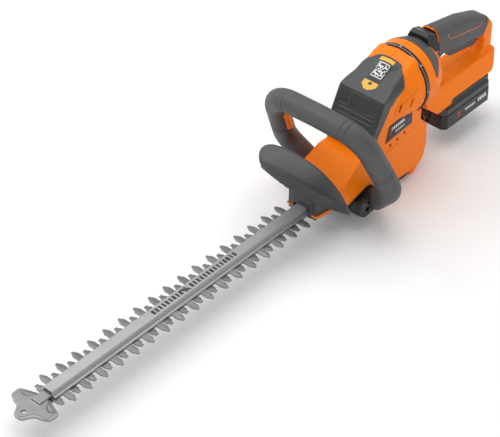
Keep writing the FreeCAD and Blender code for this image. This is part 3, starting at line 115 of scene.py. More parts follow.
# %% Studio
def softbox(name, place, aim, size, watts):
    data = bpy.data.lights.new(name, "AREA")
    data.shape = "RECTANGLE"
    data.size, data.size_y = size
    data.energy = watts
    lamp = bpy.data.objects.new(name, data)
    bpy.context.collection.objects.link(lamp)
    lamp.location = place
    lamp.rotation_mode = "QUATERNION"
    lamp.rotation_quaternion = (Vector(aim) - Vector(place)).to_track_quat("-Z", "Y")


softbox("Side_softbox", (0.5, -1.9, 1.9), (-0.1, 0.0, 0.1), (1.6, 1.2), 22.0)
softbox("Front_softbox", (2.0, 1.6, 0.9), (-0.1, 0.0, 0.1), (1.4, 1.0), 5.0)
softbox("Top_softbox", (-0.5, -0.3, 2.6), (-0.15, 0.0, 0.0), (2.2, 1.8), 26.0)
world = bpy.data.worlds.new("Studio")
bpy.context.scene.world = world
world.use_nodes = True
world.node_tree.nodes["Background"].inputs["Color"].default_value = (1.0, 1.0, 1.0, 1.0)
world.node_tree.nodes["Background"].inputs["Strength"].default_value = 0.68
print("lights:", len(bpy.data.lights))

# %% [markdown]
# ## Finishes
# Each finish is a small node tree. What several finishes share is a group: the grain that spark erosion
# leaves in a mould, the cloudy variation of a handled surface, the lines of a brushed sheet and the
# paler rub along exposed edges. A group could hold a whole shader, but masks and heights mix more freely.

# %% Node helpers
def shader_group(name, inputs, output):
    tree = bpy.data.node_groups.new(name, "ShaderNodeTree")
    for label, value in inputs.items():
        tree.interface.new_socket(label, in_out="INPUT", socket_type="NodeSocketFloat").default_value = value
    tree.interface.new_socket(output, in_out="OUTPUT", socket_type="NodeSocketFloat")
    return tree, tree.nodes.new("NodeGroupInput"), tree.nodes.new("NodeGroupOutput")


def node(tree, kind, settings=None, **values):
    made = tree.nodes.new(kind)
    for key, value in (settings or {}).items():
        setattr(made, key, value)
    for key, value in values.items():
        made.inputs[key.replace("_", " ")].default_value = value
    return made


def use(tree, shared, **values):
    made = tree.nodes.new("ShaderNodeGroup")
    made.node_tree = shared
    for key, value in values.items():
        made.inputs[key.replace("_", " ")].default_value = value
    return made


# %% Mould grain
def mould_grain_group():
    tree, into, out = shader_group("Mould grain", {"Per metre": 1400.0}, "Height")
    coords = node(tree, "ShaderNodeTexCoord")
    coarse = node(tree, "ShaderNodeTexNoise", Detail=3.0, Roughness=0.6)
    pits = node(tree, "ShaderNodeTexVoronoi")
    both = node(tree, "ShaderNodeMath", {"operation": "ADD"})
    for texture in (coarse, pits):
        tree.links.new(coords.outputs["Object"], texture.inputs["Vector"])
        tree.links.new(into.outputs["Per metre"], texture.inputs["Scale"])
    tree.links.new(coarse.outputs["Fac"], both.inputs[0])
    tree.links.new(pits.outputs["Distance"], both.inputs[1])
    tree.links.new(both.outputs[0], out.inputs["Height"])
    return tree


GRAIN = mould_grain_group()
print("group:", GRAIN.name)

# %% Handling clouds
def clouds_group():
    tree, into, out = shader_group("Handling clouds", {"Per metre": 25.0, "Low": 0.4, "High": 0.5}, "Value")
    coords = node(tree, "ShaderNodeTexCoord")
    clouds = node(tree, "ShaderNodeTexNoise", Detail=5.0, Roughness=0.55)
    span = node(tree, "ShaderNodeMapRange", From_Min=0.3, From_Max=0.7)
    tree.links.new(coords.outputs["Object"], clouds.inputs["Vector"])
    tree.links.new(into.outputs["Per metre"], clouds.inputs["Scale"])
    tree.links.new(clouds.outputs["Fac"], span.inputs["Value"])
    tree.links.new(into.outputs["Low"], span.inputs["To Min"])
    tree.links.new(into.outputs["High"], span.inputs["To Max"])
    tree.links.new(span.outputs["Result"], out.inputs["Value"])
    return tree


CLOUDS = clouds_group()
print("group:", CLOUDS.name)

# %% Brushed lines along the tool
def brushed_group():
    tree, into, out = shader_group("Brushed lines", {"Per metre": 2500.0}, "Height")
    coords = node(tree, "ShaderNodeTexCoord")
    stretch = node(tree, "ShaderNodeVectorMath", {"operation": "MULTIPLY"})
    stretch.inputs[1].default_value = (0.02, 1.0, 1.0)
    lines = node(tree, "ShaderNodeTexNoise", Detail=2.0)
    tree.links.new(coords.outputs["Object"], stretch.inputs[0])
    tree.links.new(stretch.outputs[0], lines.inputs["Vector"])
    tree.links.new(into.outputs["Per metre"], lines.inputs["Scale"])
    tree.links.new(lines.outputs["Fac"], out.inputs["Height"])
    return tree


BRUSHED = brushed_group()
print("group:", BRUSHED.name)

# %% Rubbed edges
def rub_group():
    tree, into, out = shader_group("Rubbed edges", {"Amount": 0.5}, "Mask")
    shape = node(tree, "ShaderNodeNewGeometry")
    edge = node(tree, "ShaderNodeMapRange", From_Min=0.52, From_Max=0.62)
    coords = node(tree, "ShaderNodeTexCoord")
    patches = node(tree, "ShaderNodeTexNoise", Scale=180.0, Detail=4.0)
    broken = node(tree, "ShaderNodeMath", {"operation": "MULTIPLY"})
    scaled = node(tree, "ShaderNodeMath", {"operation": "MULTIPLY"})
    tree.links.new(shape.outputs["Pointiness"], edge.inputs["Value"])
    tree.links.new(coords.outputs["Object"], patches.inputs["Vector"])
    tree.links.new(edge.outputs["Result"], broken.inputs[0])
    tree.links.new(patches.outputs["Fac"], broken.inputs[1])
    tree.links.new(broken.outputs[0], scaled.inputs[0])
    tree.links.new(into.outputs["Amount"], scaled.inputs[1])
    tree.links.new(scaled.outputs[0], out.inputs["Mask"])
    return tree


RUB = rub_group()
print("group:", RUB.name)

# %% One recipe for every finish
def mixed(tree, factor, a, b):
    """A colour mixed from two colours or outputs by a factor output."""
    mix = node(tree, "ShaderNodeMix", {"data_type": "RGBA"})
    tree.links.new(factor, mix.inputs["Factor"])
    for socket, value in ((mix.inputs[6], a), (mix.inputs[7], b)):
        if isinstance(value, tuple):
            socket.default_value = (*value, 1.0)
        else:
            tree.links.new(value, socket)
    return mix.outputs[2]


def finish(name, colour, darker=0.86, rough=(0.4, 0.5), metallic=0.0, texture=GRAIN, per_metre=1400.0,
           depth=0.1, clouds=25.0, coat=0.0, specular=0.5, rub=0.35):
    """A finish with its own cloudy colour, uneven gloss, surface texture and rubbed edges."""
    material = bpy.data.materials.new(name)
    material.use_nodes = True
    tree = material.node_tree
    shader = tree.nodes["Principled BSDF"]
    shader.inputs["Metallic"].default_value = metallic
    shader.inputs["Specular IOR Level"].default_value = specular
    shader.inputs["Coat Weight"].default_value = coat
    shader.inputs["Coat Roughness"].default_value = 0.12
    gloss = use(tree, CLOUDS, Per_metre=clouds, Low=rough[0], High=rough[1])
    tree.links.new(gloss.outputs["Value"], shader.inputs["Roughness"])
    tint = use(tree, CLOUDS, Per_metre=clouds * 2.3, Low=0.0, High=1.0)
    cloudy = mixed(tree, tint.outputs["Value"], tuple(c * darker for c in colour), colour)
    worn = use(tree, RUB, Amount=rub)
    pale = tuple(c + (1.0 - c) * 0.3 for c in colour)
    tree.links.new(mixed(tree, worn.outputs["Mask"], cloudy, pale), shader.inputs["Base Color"])
    surface = use(tree, texture, Per_metre=per_metre)
    bump = node(tree, "ShaderNodeBump", Strength=depth, Distance=0.0002)
    tree.links.new(surface.outputs["Height"], bump.inputs["Height"])
    tree.links.new(bump.outputs["Normal"], shader.inputs["Normal"])
    return material


# %% Plastics
finishes = {
    "orange_shell": finish("Orange shell", (1.0, 0.215, 0.002), 0.94, (0.36, 0.45), per_metre=1800.0,
                           specular=0.2, rub=0.12),
    "grey_soft": finish("Grey soft grip", (0.078, 0.080, 0.082), 0.85, (0.5, 0.6), depth=0.25, rub=0.2),
    "grey_shell": finish("Grey shell", (0.046, 0.049, 0.053), 0.85, (0.34, 0.44), depth=0.12, rub=0.2),
    "black_shell": finish("Black shell", (0.010, 0.010, 0.012), 0.8, (0.28, 0.4), depth=0.12, rub=0.15),
    "cell_wrap": finish("Cell sleeve", (0.03, 0.16, 0.4), 0.9, (0.25, 0.3), depth=0.05),
    "plate_black": finish("Printed plate", (0.012, 0.012, 0.014), 0.9, (0.3, 0.4), depth=0.04,
                          specular=0.25),
    "board_green": finish("Circuit board", (0.01, 0.12, 0.05), 0.8, (0.25, 0.35)),
    "felt": finish("Oiled felt", (0.3, 0.27, 0.2), 0.7, (0.8, 0.95), depth=0.8, per_metre=2500.0),
    "magnet": finish("Ferrite", (0.05, 0.05, 0.055), 0.8, (0.5, 0.6), depth=0.3),
}
print("plastics:", len(finishes))

# %% Metals
finishes.update({
    "blade_steel": finish("Blade steel", (0.21, 0.21, 0.215), 0.82, (0.4, 0.52), 0.6, BRUSHED, depth=0.3),
    "rail_alloy": finish("Rail alloy", (0.40, 0.40, 0.40), 0.95, (0.5, 0.6), 0.45, BRUSHED, depth=0.2,
                         rub=0.15),
    "cast_alloy": finish("Cast alloy", (0.30, 0.305, 0.31), 0.9, (0.42, 0.52), 0.9, depth=0.2,
                         per_metre=900.0, rub=0.6),
    "drive_steel": finish("Drive steel", (0.45, 0.44, 0.42), 0.8, (0.25, 0.4), 1.0, BRUSHED, depth=0.2),
    "sintered": finish("Sintered bronze", (0.45, 0.33, 0.18), 0.8, (0.4, 0.55), 1.0, depth=0.3,
                       per_metre=3000.0),
    "dark_steel": finish("Black oxide steel", (0.04, 0.04, 0.045), 0.7, (0.3, 0.45), 0.9, depth=0.2),
    "copper": finish("Enamelled copper", (0.55, 0.2, 0.08), 0.75, (0.3, 0.4), 0.8, BRUSHED, depth=0.5),
})
for name, cad in nodes.items():
    cad.data.materials.clear()
    cad.data.materials.append(finishes[slot_of_node[name]])
print("finishes:", len(finishes))

# %% Inks for the printed marks
INKS = {
    "white": finish("White ink", (0.75, 0.75, 0.74), 0.96, (0.4, 0.5), depth=0.03, rub=0.0),
    "black": finish("Black ink", (0.016, 0.016, 0.018), 0.9, (0.35, 0.45), depth=0.03, rub=0.0),
    "yellow": finish("Yellow label", (0.78, 0.43, 0.03), 0.95, (0.3, 0.4), depth=0.03, rub=0.0),
    "red": finish("Red ink", (0.65, 0.03, 0.01), 0.95, (0.35, 0.45), depth=0.03, rub=0.0),
    "piping": finish("Orange piping", (0.70, 0.13, 0.01), 0.95, (0.4, 0.5), depth=0.05, rub=0.0),
}
print("inks:", len(INKS))

# %% [markdown]
# ## Mouldings
# A mould has no sharp edges. Bevels could round a plain box, but these shells meet in odd angles, so a
# copy of each is rebuilt on a fine grid and then relaxed. That rounds every edge, lets neighbouring
# forms flow together and leaves a fine parting line where two shells meet.

# %% Mesh helpers
def add_object(name, mesh):
    made = bpy.data.objects.new(name, mesh)
    bpy.context.collection.objects.link(made)
    return made


def mesh_of(name, points, faces):
    mesh = bpy.data.meshes.new(name)
    mesh.from_pydata([tuple(p) for p in points], [], faces)
    mesh.update()
    return mesh


def merged_copy(source):
    """A copy of a design solid's mesh with its loose triangles joined up."""
    mesh = source.data.copy()
    work = bmesh.new()
    work.from_mesh(mesh)
    bmesh.ops.remove_doubles(work, verts=work.verts, dist=1e-6)
    work.to_mesh(mesh)
    work.free()
    return mesh


def applied(made):
    """The object with its modifiers worked into a plain mesh."""
    graph = bpy.context.evaluated_depsgraph_get()
    mesh = bpy.data.meshes.new_from_object(made.evaluated_get(graph), depsgraph=graph)
    made.modifiers.clear()
    made.data = mesh
    return made


def smooth(made, angle=None):
    made.data.polygons.foreach_set("use_smooth", [True] * len(made.data.polygons))
    if angle is not None:
        made.data.set_sharp_from_angle(angle=math.radians(angle))
    made.data.update()
    return made


def placed(made, slot, body, material=None):
    """Gives a finished piece its finish, the slot's own unless one is given, and its moving body."""
    made.data.materials.clear()
    made.data.materials.append(material or finishes[slot])
    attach(made, body)
    return made


def stands_for(made, name):
    placed(made, slot_of_node[name], body_of_node[name])
    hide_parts(name)
    print(made.name, len(made.data.polygons), "faces")
    return made


print("helpers ready")

# %% Cutters and grooves
def prism_of(name, outline, y0, y1):
    """A solid plate: an outline in (x, z) drawing millimetres, from y0 to y1."""
    near = [at(x, y0, z) for x, z in outline]
    far = [at(x, y1, z) for x, z in outline]
    n = len(outline)
    faces = [list(range(n)), list(range(2 * n - 1, n - 1, -1))]
    faces += [[k, n + k, n + (k + 1) % n, (k + 1) % n] for k in range(n)]
    mesh = mesh_of(name, near + far, faces)
    work = bmesh.new()
    work.from_mesh(mesh)
    bmesh.ops.recalc_face_normals(work, faces=work.faces)
    work.to_mesh(mesh)
    work.free()
    return mesh


def line_outline(a, b, width):
    """Corners of a straight strip between two (x, z) points."""
    along = Vector(b) - Vector(a)
    across = Vector((-along.y, along.x)).normalized() * (width / 2)
    return [Vector(a) - across, Vector(b) - across, Vector(b) + across, Vector(a) + across]


def cut_away(made, cutter_mesh):
    """Cuts a solid out of a piece; both are closed, which the manifold solver needs."""
    cutter = add_object("Cutter", cutter_mesh)
    step = made.modifiers.new("Cut", "BOOLEAN")
    step.operation = "DIFFERENCE"
    step.solver = "MANIFOLD"
    step.object = cutter
    applied(made)
    bpy.data.objects.remove(cutter)
    return made


def joined(meshes):
    work = bmesh.new()
    for mesh in meshes:
        work.from_mesh(mesh)
    out = bpy.data.meshes.new("Joined")
    work.to_mesh(out)
    work.free()
    return out


print("cutters ready")

# %% A moulded copy of a design shell
def moulded(name, grid=1.0, rounds=6, carve=None):
    made = add_object(name.title() + "_moulding", merged_copy(nodes[name]))
    remesh = made.modifiers.new("Grid", "REMESH")
    remesh.mode = "VOXEL"
    remesh.voxel_size = grid * MM
    relax = made.modifiers.new("Relax", "SMOOTH")
    relax.iterations = rounds
    applied(made)
    if carve:
        carve(made)
    smooth(made, 40)
    return stands_for(made, name)


# %% [markdown]
# The housing's flanks carry two slanted air slots, three square ones and a few shallow shadow lines. The
# grid is coarser than they are, so they are cut into the relaxed shell afterwards and stay crisp.

# %% Housing halves
FLANK = 42.0
SLOTS = (((-173.6, 122.0), (-169.2, 109.0)), ((-193.4, 126.0), (-188.6, 111.5)))
SQUARES = ((-155.0, 55.0), (-172.0, 57.5), (-189.0, 60.0))
SHADOW_LINES = (((-146.0, 46.0), (-205.0, 54.5)), ((-158.0, 104.0), (-163.0, 117.0)),
                ((-163.0, 117.0), (-203.0, 137.5)))


def carve_flank(made):
    sign = 1 if made.name.startswith("Housing_Left") else -1
    cuts = [prism_of("Slot", line_outline(a, b, 2.6), sign * 30.0, sign * 60.0) for a, b in SLOTS]
    cuts += [prism_of("Square", line_outline((x - 2.5, z), (x + 2.5, z), 5.0), sign * 30.0, sign * 60.0)
             for x, z in SQUARES]
    cuts += [prism_of("Line", line_outline(a, b, 1.0), sign * (FLANK - 0.8), sign * 60.0)
             for a, b in SHADOW_LINES]
    for cutter in cuts:
        cut_away(made, cutter)


moulded("housing_left", 1.25, 8, carve_flank)
moulded("housing_right", 1.25, 8, carve_flank)

# %% [markdown]
# The dark cover over the motor is a separate moulding with two steps across its front and a slightly
# raised middle, which is pushed out of the relaxed mesh with a soft mask.

# %% Motor cover
COVER_STEPS = (116.0, 109.0)


def directions(mesh):
    """Every point's outward direction, read before any point moves."""
    return [vertex.normal.copy() for vertex in mesh.vertices]


def soft_box(value, low, high, edge):
    """1 inside low..high, easing to 0 over edge outside it."""
    outside = max(low - value, value - high, 0.0) / edge
    return 0.0 if outside >= 1.0 else 0.5 + 0.5 * math.cos(math.pi * outside)


def raise_cover(made):
    for vertex, normal in zip(made.data.vertices, directions(made.data)):
        x, y, z = (vertex.co - DATUM) / MM
        if normal.x > 0.3 and normal.z > -0.2:
            middle = soft_box(y, -17.0, 17.0, 2.0) * soft_box(z, 121.0, 139.0, 2.0)
            band = soft_box(z, 106.0, 119.0, 1.2) * soft_box(y, -32.0, 32.0, 2.0)
            step = sum(soft_box(z, high - 0.6, high + 0.6, 1.0) for high in COVER_STEPS)
            vertex.co += normal * (0.5 * middle + 0.5 * band - 0.7 * step * (band > 0.5)) * MM


cover = moulded("motor_cover", 0.8, 6, raise_cover)

# %% Guard, gear cover, nose and brackets
moulded("hand_guard", 0.9, 7)
moulded("gear_cover", 0.8, 3)
moulded("nose_block", 0.7, 2)
moulded("trim_frame", 0.6, 2)
for side in ("left", "right"):
    moulded("handle_bracket_" + side, 0.7, 2)
moulded("base_plate", 0.8, 3)

# %% Rear handle
for side in ("left", "right"):
    moulded("rear_handle_" + side, 1.1, 9)
moulded("grip_overmould", 0.8, 10)
moulded("grey_band", 0.6, 3)
moulded("swivel_slider", 0.6, 5)
moulded("trigger", 0.6, 4)

# %% Battery
moulded("battery_lower", 0.9, 3)
moulded("battery_upper", 0.9, 3)
moulded("battery_latch", 0.4, 2)

# %% [markdown]
# Machined and turned pieces keep their crisp forms and get a small bevel, as after tumbling. The angle
# limit leaves their round faces alone.

# %% Bevelled pieces
def bevelled(name, width, angle=35.0):
    made = add_object(name.title() + "_bevelled", merged_copy(nodes[name]))
    flat = made.modifiers.new("Flat", "DECIMATE")
    flat.decimate_type = "DISSOLVE"
    flat.angle_limit = math.radians(0.5)
    bevel = made.modifiers.new("Bevel", "BEVEL")
    bevel.width = width * MM
    bevel.segments = 2
    bevel.limit_method = "ANGLE"
    bevel.angle_limit = math.radians(angle)
    applied(made)
    smooth(made, 50)
    return stands_for(made, name)


for name, width in (("upper_blade", 0.35), ("lower_blade", 0.35), ("blade_cover", 0.25),
                    ("angle_ring", 0.5), ("name_plates", 0.2)):
    bevelled(name, width)

# %% [markdown]
# ## Front handle
# The loop is two half shells round one closed tube. Its line is straight runs joined by arcs in a leaning
# plane. A swept curve would give an even tube, so the rings are laid one by one instead: each can have
# its own radius, which makes the paired grooves, and a dip at two angles makes the parting line.

# %% Line of the loop
LOOP_X, LOOP_LEAN = -102.0, math.radians(24.6)
LOOP_POINTS = [(58.0, -10.0), (103.0, 49.5), (84.0, 174.0), (0.0, 177.5), (-84.0, 174.0), (-103.0, 49.5),
               (-58.0, -10.0)]
LOOP_BENDS = [45.0, 45.0, 180.0, 45.0, 45.0]
TUBE_R = 17.75
LINE_STEP = 0.9           # distance between rings along the line


def rounded_line(points, bends, step):
    """Samples of straight runs joined by tangent arcs, in a plane."""
    line, here = [], Vector(points[0])
    for before, corner, after, r in zip(points, points[1:], points[2:], bends):
        corner = Vector(corner)
        a, b = (Vector(before) - corner).normalized(), (Vector(after) - corner).normalized()
        half = a.angle(b) / 2
        start = corner + a * (r / math.tan(half))
        centre = corner + (a + b).normalized() * (r / math.sin(half))
        count = max(int((start - here).length / step), 1)
        line += [here.lerp(start, k / count) for k in range(count)]
        turn = (start - centre).angle_signed(corner + b * (r / math.tan(half)) - centre)
        count = max(int(abs(turn) * r / step), 1)
        for k in range(count):
            spin = Matrix.Rotation(-turn * k / count, 2)
            line.append(centre + spin @ (start - centre))
        here = corner + b * (r / math.tan(half))
    count = int((Vector(points[-1]) - here).length / step)
    return line + [here.lerp(Vector(points[-1]), k / count) for k in range(count + 1)]


loop_line = rounded_line(LOOP_POINTS, LOOP_BENDS, LINE_STEP)
print("loop samples:", len(loop_line))

# %% Grooved tube
GROOVE, GROOVE_HALF, SEAM = 1.5, 1.5, 0.7    # groove's depth and half width, parting line's depth
TOP_GROOVES = (-59.5, -52.5, 52.5, 59.5)      # sideways places of the grooves in the top bar
LEG_GROOVES = (88.0, 95.0)                     # heights of the grooves in both legs


def tube_radius(y, z):
    dips = [abs(y - g) for g in TOP_GROOVES if z > 150.0] + [abs(z - g) for g in LEG_GROOVES]
    return TUBE_R - GROOVE * soft_box(min(dips), 0.0, 0.0, GROOVE_HALF)


def ring_angles():
    """Even angles round the tube, with three close ones at each parting line."""
    even = [math.tau * k / 48 for k in range(48)]
    return sorted(even + [a + d for a in (math.pi / 2, math.pi * 1.5) for d in (-0.04, 0.04)])


def loop_tube():
    angles = ring_angles()
    lean = Matrix.Rotation(LOOP_LEAN, 3, "Y")
    points, faces = [], []
    last = len(loop_line) - 1
    for n, centre in enumerate(loop_line):
        along = (loop_line[min(n + 1, last)] - loop_line[max(n - 1, 0)]).normalized()
        for a in angles:
            r = tube_radius(centre.x, centre.y)
            if min(abs(a - math.pi / 2), abs(a - math.pi * 1.5)) < 1e-6:
                r -= SEAM
            side = Vector((0, along.y, -along.x)) * math.sin(a)
            place = Vector((math.cos(a) * r, centre.x, centre.y)) + side * r
            place = lean @ place
            points.append(at(place.x + LOOP_X, place.y, place.z))
    k = len(angles)
    for n in range(last):
        faces += [[n * k + i, n * k + (i + 1) % k, (n + 1) * k + (i + 1) % k, (n + 1) * k + i]
                  for i in range(k)]
    faces += [list(range(k - 1, -1, -1)), [last * k + i for i in range(k)]]
    mesh = mesh_of("Loop", points, faces)
    work = bmesh.new()
    work.from_mesh(mesh)
    bmesh.ops.recalc_face_normals(work, faces=work.faces)
    work.to_mesh(mesh)
    work.free()
    return mesh


handle = add_object("Front_handle_tube", loop_tube())
print("tube faces", len(handle.data.polygons))

# %% [markdown]
# The pocket for the switch bar is cut a little larger than the bar and deep enough for its travel. Small
# wells for the shells' screws are cut into the front as well.

# %% Pockets in the tube
def grown(mesh, by, shift=Vector()):
    """A copy of a closed mesh pushed out along its normals and moved."""
    out = mesh.copy()
    for vertex, normal in zip(out.vertices, directions(out)):
        vertex.co += normal * by * MM + shift
    return out


def screw_well(y, z, r=3.0, depth=12.0):
    lean = Matrix.Rotation(LOOP_LEAN, 4, "Y")
    work = bmesh.new()
    bmesh.ops.create_cone(work, cap_ends=True, segments=20, radius1=r * MM, radius2=r * MM,
                          depth=2 * depth * MM)
    turned = lean @ Matrix.Translation((TUBE_R * MM, y * MM, z * MM)) @ Matrix.Rotation(math.pi / 2, 4, "Y")
    bmesh.ops.transform(work, matrix=Matrix.Translation(at(LOOP_X, 0, 0)) @ turned, verts=work.verts)
    out = bpy.data.meshes.new("Well")
    work.to_mesh(out)
    work.free()
    return out


switch_mesh = merged_copy(nodes["front_switch"])
SWITCH_ROOM, SWITCH_TRAVEL = 0.45, 3.0
SWITCH_WAY = Vector((0.0628, -0.9886, 0.1372))      # the bar is pressed this way, into the tube
for shift in (Vector(), SWITCH_WAY * SWITCH_TRAVEL * MM):
    cut_away(handle, grown(switch_mesh, SWITCH_ROOM, shift))
SCREW_WELLS = ((-92.0, 150.0), (-98.0, 106.0), (60.0, 163.0), (92.0, 112.0), (84.0, 20.0), (-84.0, 20.0))
for y, z in SCREW_WELLS:
    cut_away(handle, screw_well(y, z))
smooth(handle, 35)
placed(handle, "grey_soft", body_of_node["handle_shell_front"])
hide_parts("handle_shell_front", "handle_shell_rear")
print("handle faces", len(handle.data.polygons))

# %% Switch bar
moulded("front_switch", 0.5, 2)

# %% [markdown]
# ## Tip protector
# The cast end piece has a pressed hollow on each side of a middle ridge. The relaxed copy is fine enough
# to push the hollows in with two soft oval masks.

# %% Tip protector
LOBES = ((531.0, 22.0, 14.0, 10.0, 0.6), (531.0, -21.0, 14.0, 10.0, -0.6))
TIP_TOP_NORMAL = 0.5


def press_lobes(made):
    for vertex, normal in zip(made.data.vertices, directions(made.data)):
        if normal.z < TIP_TOP_NORMAL:
            continue
        x, y, _ = (vertex.co - DATUM) / MM
        for cx, cy, rx, ry, turn in LOBES:
            u = (x - cx) * math.cos(turn) + (y - cy) * math.sin(turn)
            v = -(x - cx) * math.sin(turn) + (y - cy) * math.cos(turn)
            out = math.hypot(u / rx, v / ry)
            depth = 1.0 - soft_box(out, 1.0, 9.0, 0.35)
            vertex.co.z -= 1.5 * depth * MM


moulded("tip_protector", 0.55, 4, press_lobes)

# %% [markdown]
# ## What repeats
# Marks, ticks and ribs are rows of one small solid. A geometry node tree lays them out from a count, a
# step and a size, so a change of spacing is one number. The row ends in real geometry, because a plain
# mesh is what moves with a body.

# %% Row of blocks
def geometry_tree(name, inputs):
    tree = bpy.data.node_groups.new(name, "GeometryNodeTree")
    for label, (kind, value) in inputs.items():
        socket = tree.interface.new_socket(label, in_out="INPUT", socket_type="NodeSocket" + kind)
        if value is not None:
            socket.default_value = value
    tree.interface.new_socket("Geometry", in_out="OUTPUT", socket_type="NodeSocketGeometry")
    return tree, tree.nodes.new("NodeGroupInput"), tree.nodes.new("NodeGroupOutput")


def row_tree():
    tree, into, out = geometry_tree("Row of blocks", {
        "Count": ("Int", 5), "Start": ("Vector", (0, 0, 0)), "Step": ("Vector", (0.01, 0, 0)),
        "Size": ("Vector", (0.002, 0.002, 0.0002)), "Turn": ("Vector", (0, 0, 0)),
        "Uneven": ("Float", 0.0), "Seed": ("Int", 1), "Material": ("Material", None)})
    line = node(tree, "GeometryNodeMeshLine", {"mode": "OFFSET"})
    block = node(tree, "GeometryNodeMeshCube")
    wide = node(tree, "FunctionNodeRandomValue", {"data_type": "FLOAT"})
    least = node(tree, "ShaderNodeMath", {"operation": "SUBTRACT"})
    least.inputs[0].default_value = 1.0
    widths = node(tree, "ShaderNodeCombineXYZ", Y=1.0, Z=1.0)
    spread = node(tree, "GeometryNodeInstanceOnPoints")
    real = node(tree, "GeometryNodeRealizeInstances")
    paint = node(tree, "GeometryNodeSetMaterial")
    links = tree.links
    links.new(into.outputs["Count"], line.inputs["Count"])
    links.new(into.outputs["Start"], line.inputs["Start Location"])
    links.new(into.outputs["Step"], line.inputs["Offset"])
    links.new(into.outputs["Size"], block.inputs["Size"])
    links.new(into.outputs["Uneven"], least.inputs[1])
    links.new(least.outputs[0], wide.inputs[2])
    wide.inputs[3].default_value = 1.0
    links.new(into.outputs["Seed"], wide.inputs["Seed"])
    links.new(wide.outputs[1], widths.inputs["X"])
    links.new(line.outputs["Mesh"], spread.inputs["Points"])
    links.new(block.outputs["Mesh"], spread.inputs["Instance"])
    links.new(into.outputs["Turn"], spread.inputs["Rotation"])
    links.new(widths.outputs[0], spread.inputs["Scale"])
    links.new(spread.outputs["Instances"], real.inputs["Geometry"])
    links.new(real.outputs["Geometry"], paint.inputs["Geometry"])
    links.new(into.outputs["Material"], paint.inputs["Material"])
    links.new(paint.outputs["Geometry"], out.inputs["Geometry"])
    return tree


ROW = row_tree()


def laid_out(name, tree, material, slot, body, **values):
    """A mesh laid out by a geometry node tree with the given named inputs."""
    made = add_object(name, bpy.data.meshes.new(name))
    layout = made.modifiers.new("Layout", "NODES")
    layout.node_group = tree
    sockets = {s.name: s.identifier for s in tree.interface.items_tree if s.in_out == "INPUT"}
    for key, value in {**values, "Material": material}.items():
        layout[sockets[key]] = value
    applied(made)
    print(name, len(made.data.polygons), "faces")
    return placed(made, slot, body, material)


# %% Printed strip on the rail
rail_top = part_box("blade_cover")[1].z
laid_out("Rail_print_front", ROW, INKS["black"], "plate_black", "body", Count=9, Uneven=0.35, Seed=4,
         Start=tuple(at(262.0, 0.0, 0.0).xy) + (rail_top,), Step=(6.9 * MM, 0.0, 0.0),
         Size=(4.9 * MM, 8.6 * MM, 0.12 * MM))
laid_out("Rail_print_rear", ROW, INKS["black"], "plate_black", "body", Count=14, Uneven=0.35, Seed=9,
         Start=tuple(at(150.0, 0.0, 0.0).xy) + (rail_top,), Step=(6.9 * MM, 0.0, 0.0),
         Size=(4.9 * MM, 8.6 * MM, 0.12 * MM))
laid_out("Rail_emblem", ROW, INKS["black"], "plate_black", "body", Count=3, Uneven=0.0, Seed=1,
         Turn=(0.0, 0.0, math.radians(35.0)), Start=tuple(at(249.0, 0.0, 0.0).xy) + (rail_top,),
         Step=(3.6 * MM, 0.0, 0.0), Size=(2.4 * MM, 12.0 * MM, 0.14 * MM))

# %% [markdown]
# The scale ring shows the handle's five resting angles as white ticks. They lie on a circle, so their
# tree places each block by its number and turns it to face outwards.

# %% Arc of ticks
def arc_tree():
    tree, into, out = geometry_tree("Arc of blocks", {
        "Count": ("Int", 5), "Centre": ("Vector", (0, 0, 0)), "Radius": ("Float", 0.05),
        "First": ("Float", 0.0), "Apart": ("Float", 0.5), "Size": ("Vector", (0.004, 0.001, 0.0003)),
        "Material": ("Material", None)})
    line = node(tree, "GeometryNodeMeshLine")
    number = node(tree, "GeometryNodeInputIndex")
    angle = node(tree, "ShaderNodeMath", {"operation": "MULTIPLY_ADD"})
    sine, cosine = (node(tree, "ShaderNodeMath", {"operation": kind}) for kind in ("SINE", "COSINE"))
    across, up = (node(tree, "ShaderNodeMath", {"operation": "MULTIPLY"}) for _ in range(2))
    offset = node(tree, "ShaderNodeCombineXYZ")
    place = node(tree, "ShaderNodeVectorMath", {"operation": "ADD"})
    moved = node(tree, "GeometryNodeSetPosition")
    minus = node(tree, "ShaderNodeMath", {"operation": "MULTIPLY"})
    minus.inputs[1].default_value = -1.0
    turn = node(tree, "ShaderNodeCombineXYZ")
    block = node(tree, "GeometryNodeMeshCube")
    spread = node(tree, "GeometryNodeInstanceOnPoints")
    real = node(tree, "GeometryNodeRealizeInstances")
    paint = node(tree, "GeometryNodeSetMaterial")
    links = tree.links
    links.new(into.outputs["Count"], line.inputs["Count"])
    links.new(number.outputs[0], angle.inputs[0])
    links.new(into.outputs["Apart"], angle.inputs[1])
    links.new(into.outputs["First"], angle.inputs[2])
    for wave, arm, socket in ((sine, across, "Y"), (cosine, up, "Z")):
        links.new(angle.outputs[0], wave.inputs[0])
        links.new(wave.outputs[0], arm.inputs[0])
        links.new(into.outputs["Radius"], arm.inputs[1])
        links.new(arm.outputs[0], offset.inputs[socket])
    links.new(into.outputs["Centre"], place.inputs[0])
    links.new(offset.outputs[0], place.inputs[1])
    links.new(line.outputs["Mesh"], moved.inputs["Geometry"])
    links.new(place.outputs[0], moved.inputs["Position"])
    links.new(angle.outputs[0], minus.inputs[0])
    links.new(minus.outputs[0], turn.inputs["X"])
    links.new(into.outputs["Size"], block.inputs["Size"])
    links.new(moved.outputs["Geometry"], spread.inputs["Points"])
    links.new(block.outputs["Mesh"], spread.inputs["Instance"])
    links.new(turn.outputs[0], spread.inputs["Rotation"])
    links.new(spread.outputs["Instances"], real.inputs["Geometry"])
    links.new(real.outputs["Geometry"], paint.inputs["Geometry"])
    links.new(into.outputs["Material"], paint.inputs["Material"])
    links.new(paint.outputs["Geometry"], out.inputs["Geometry"])
    return tree


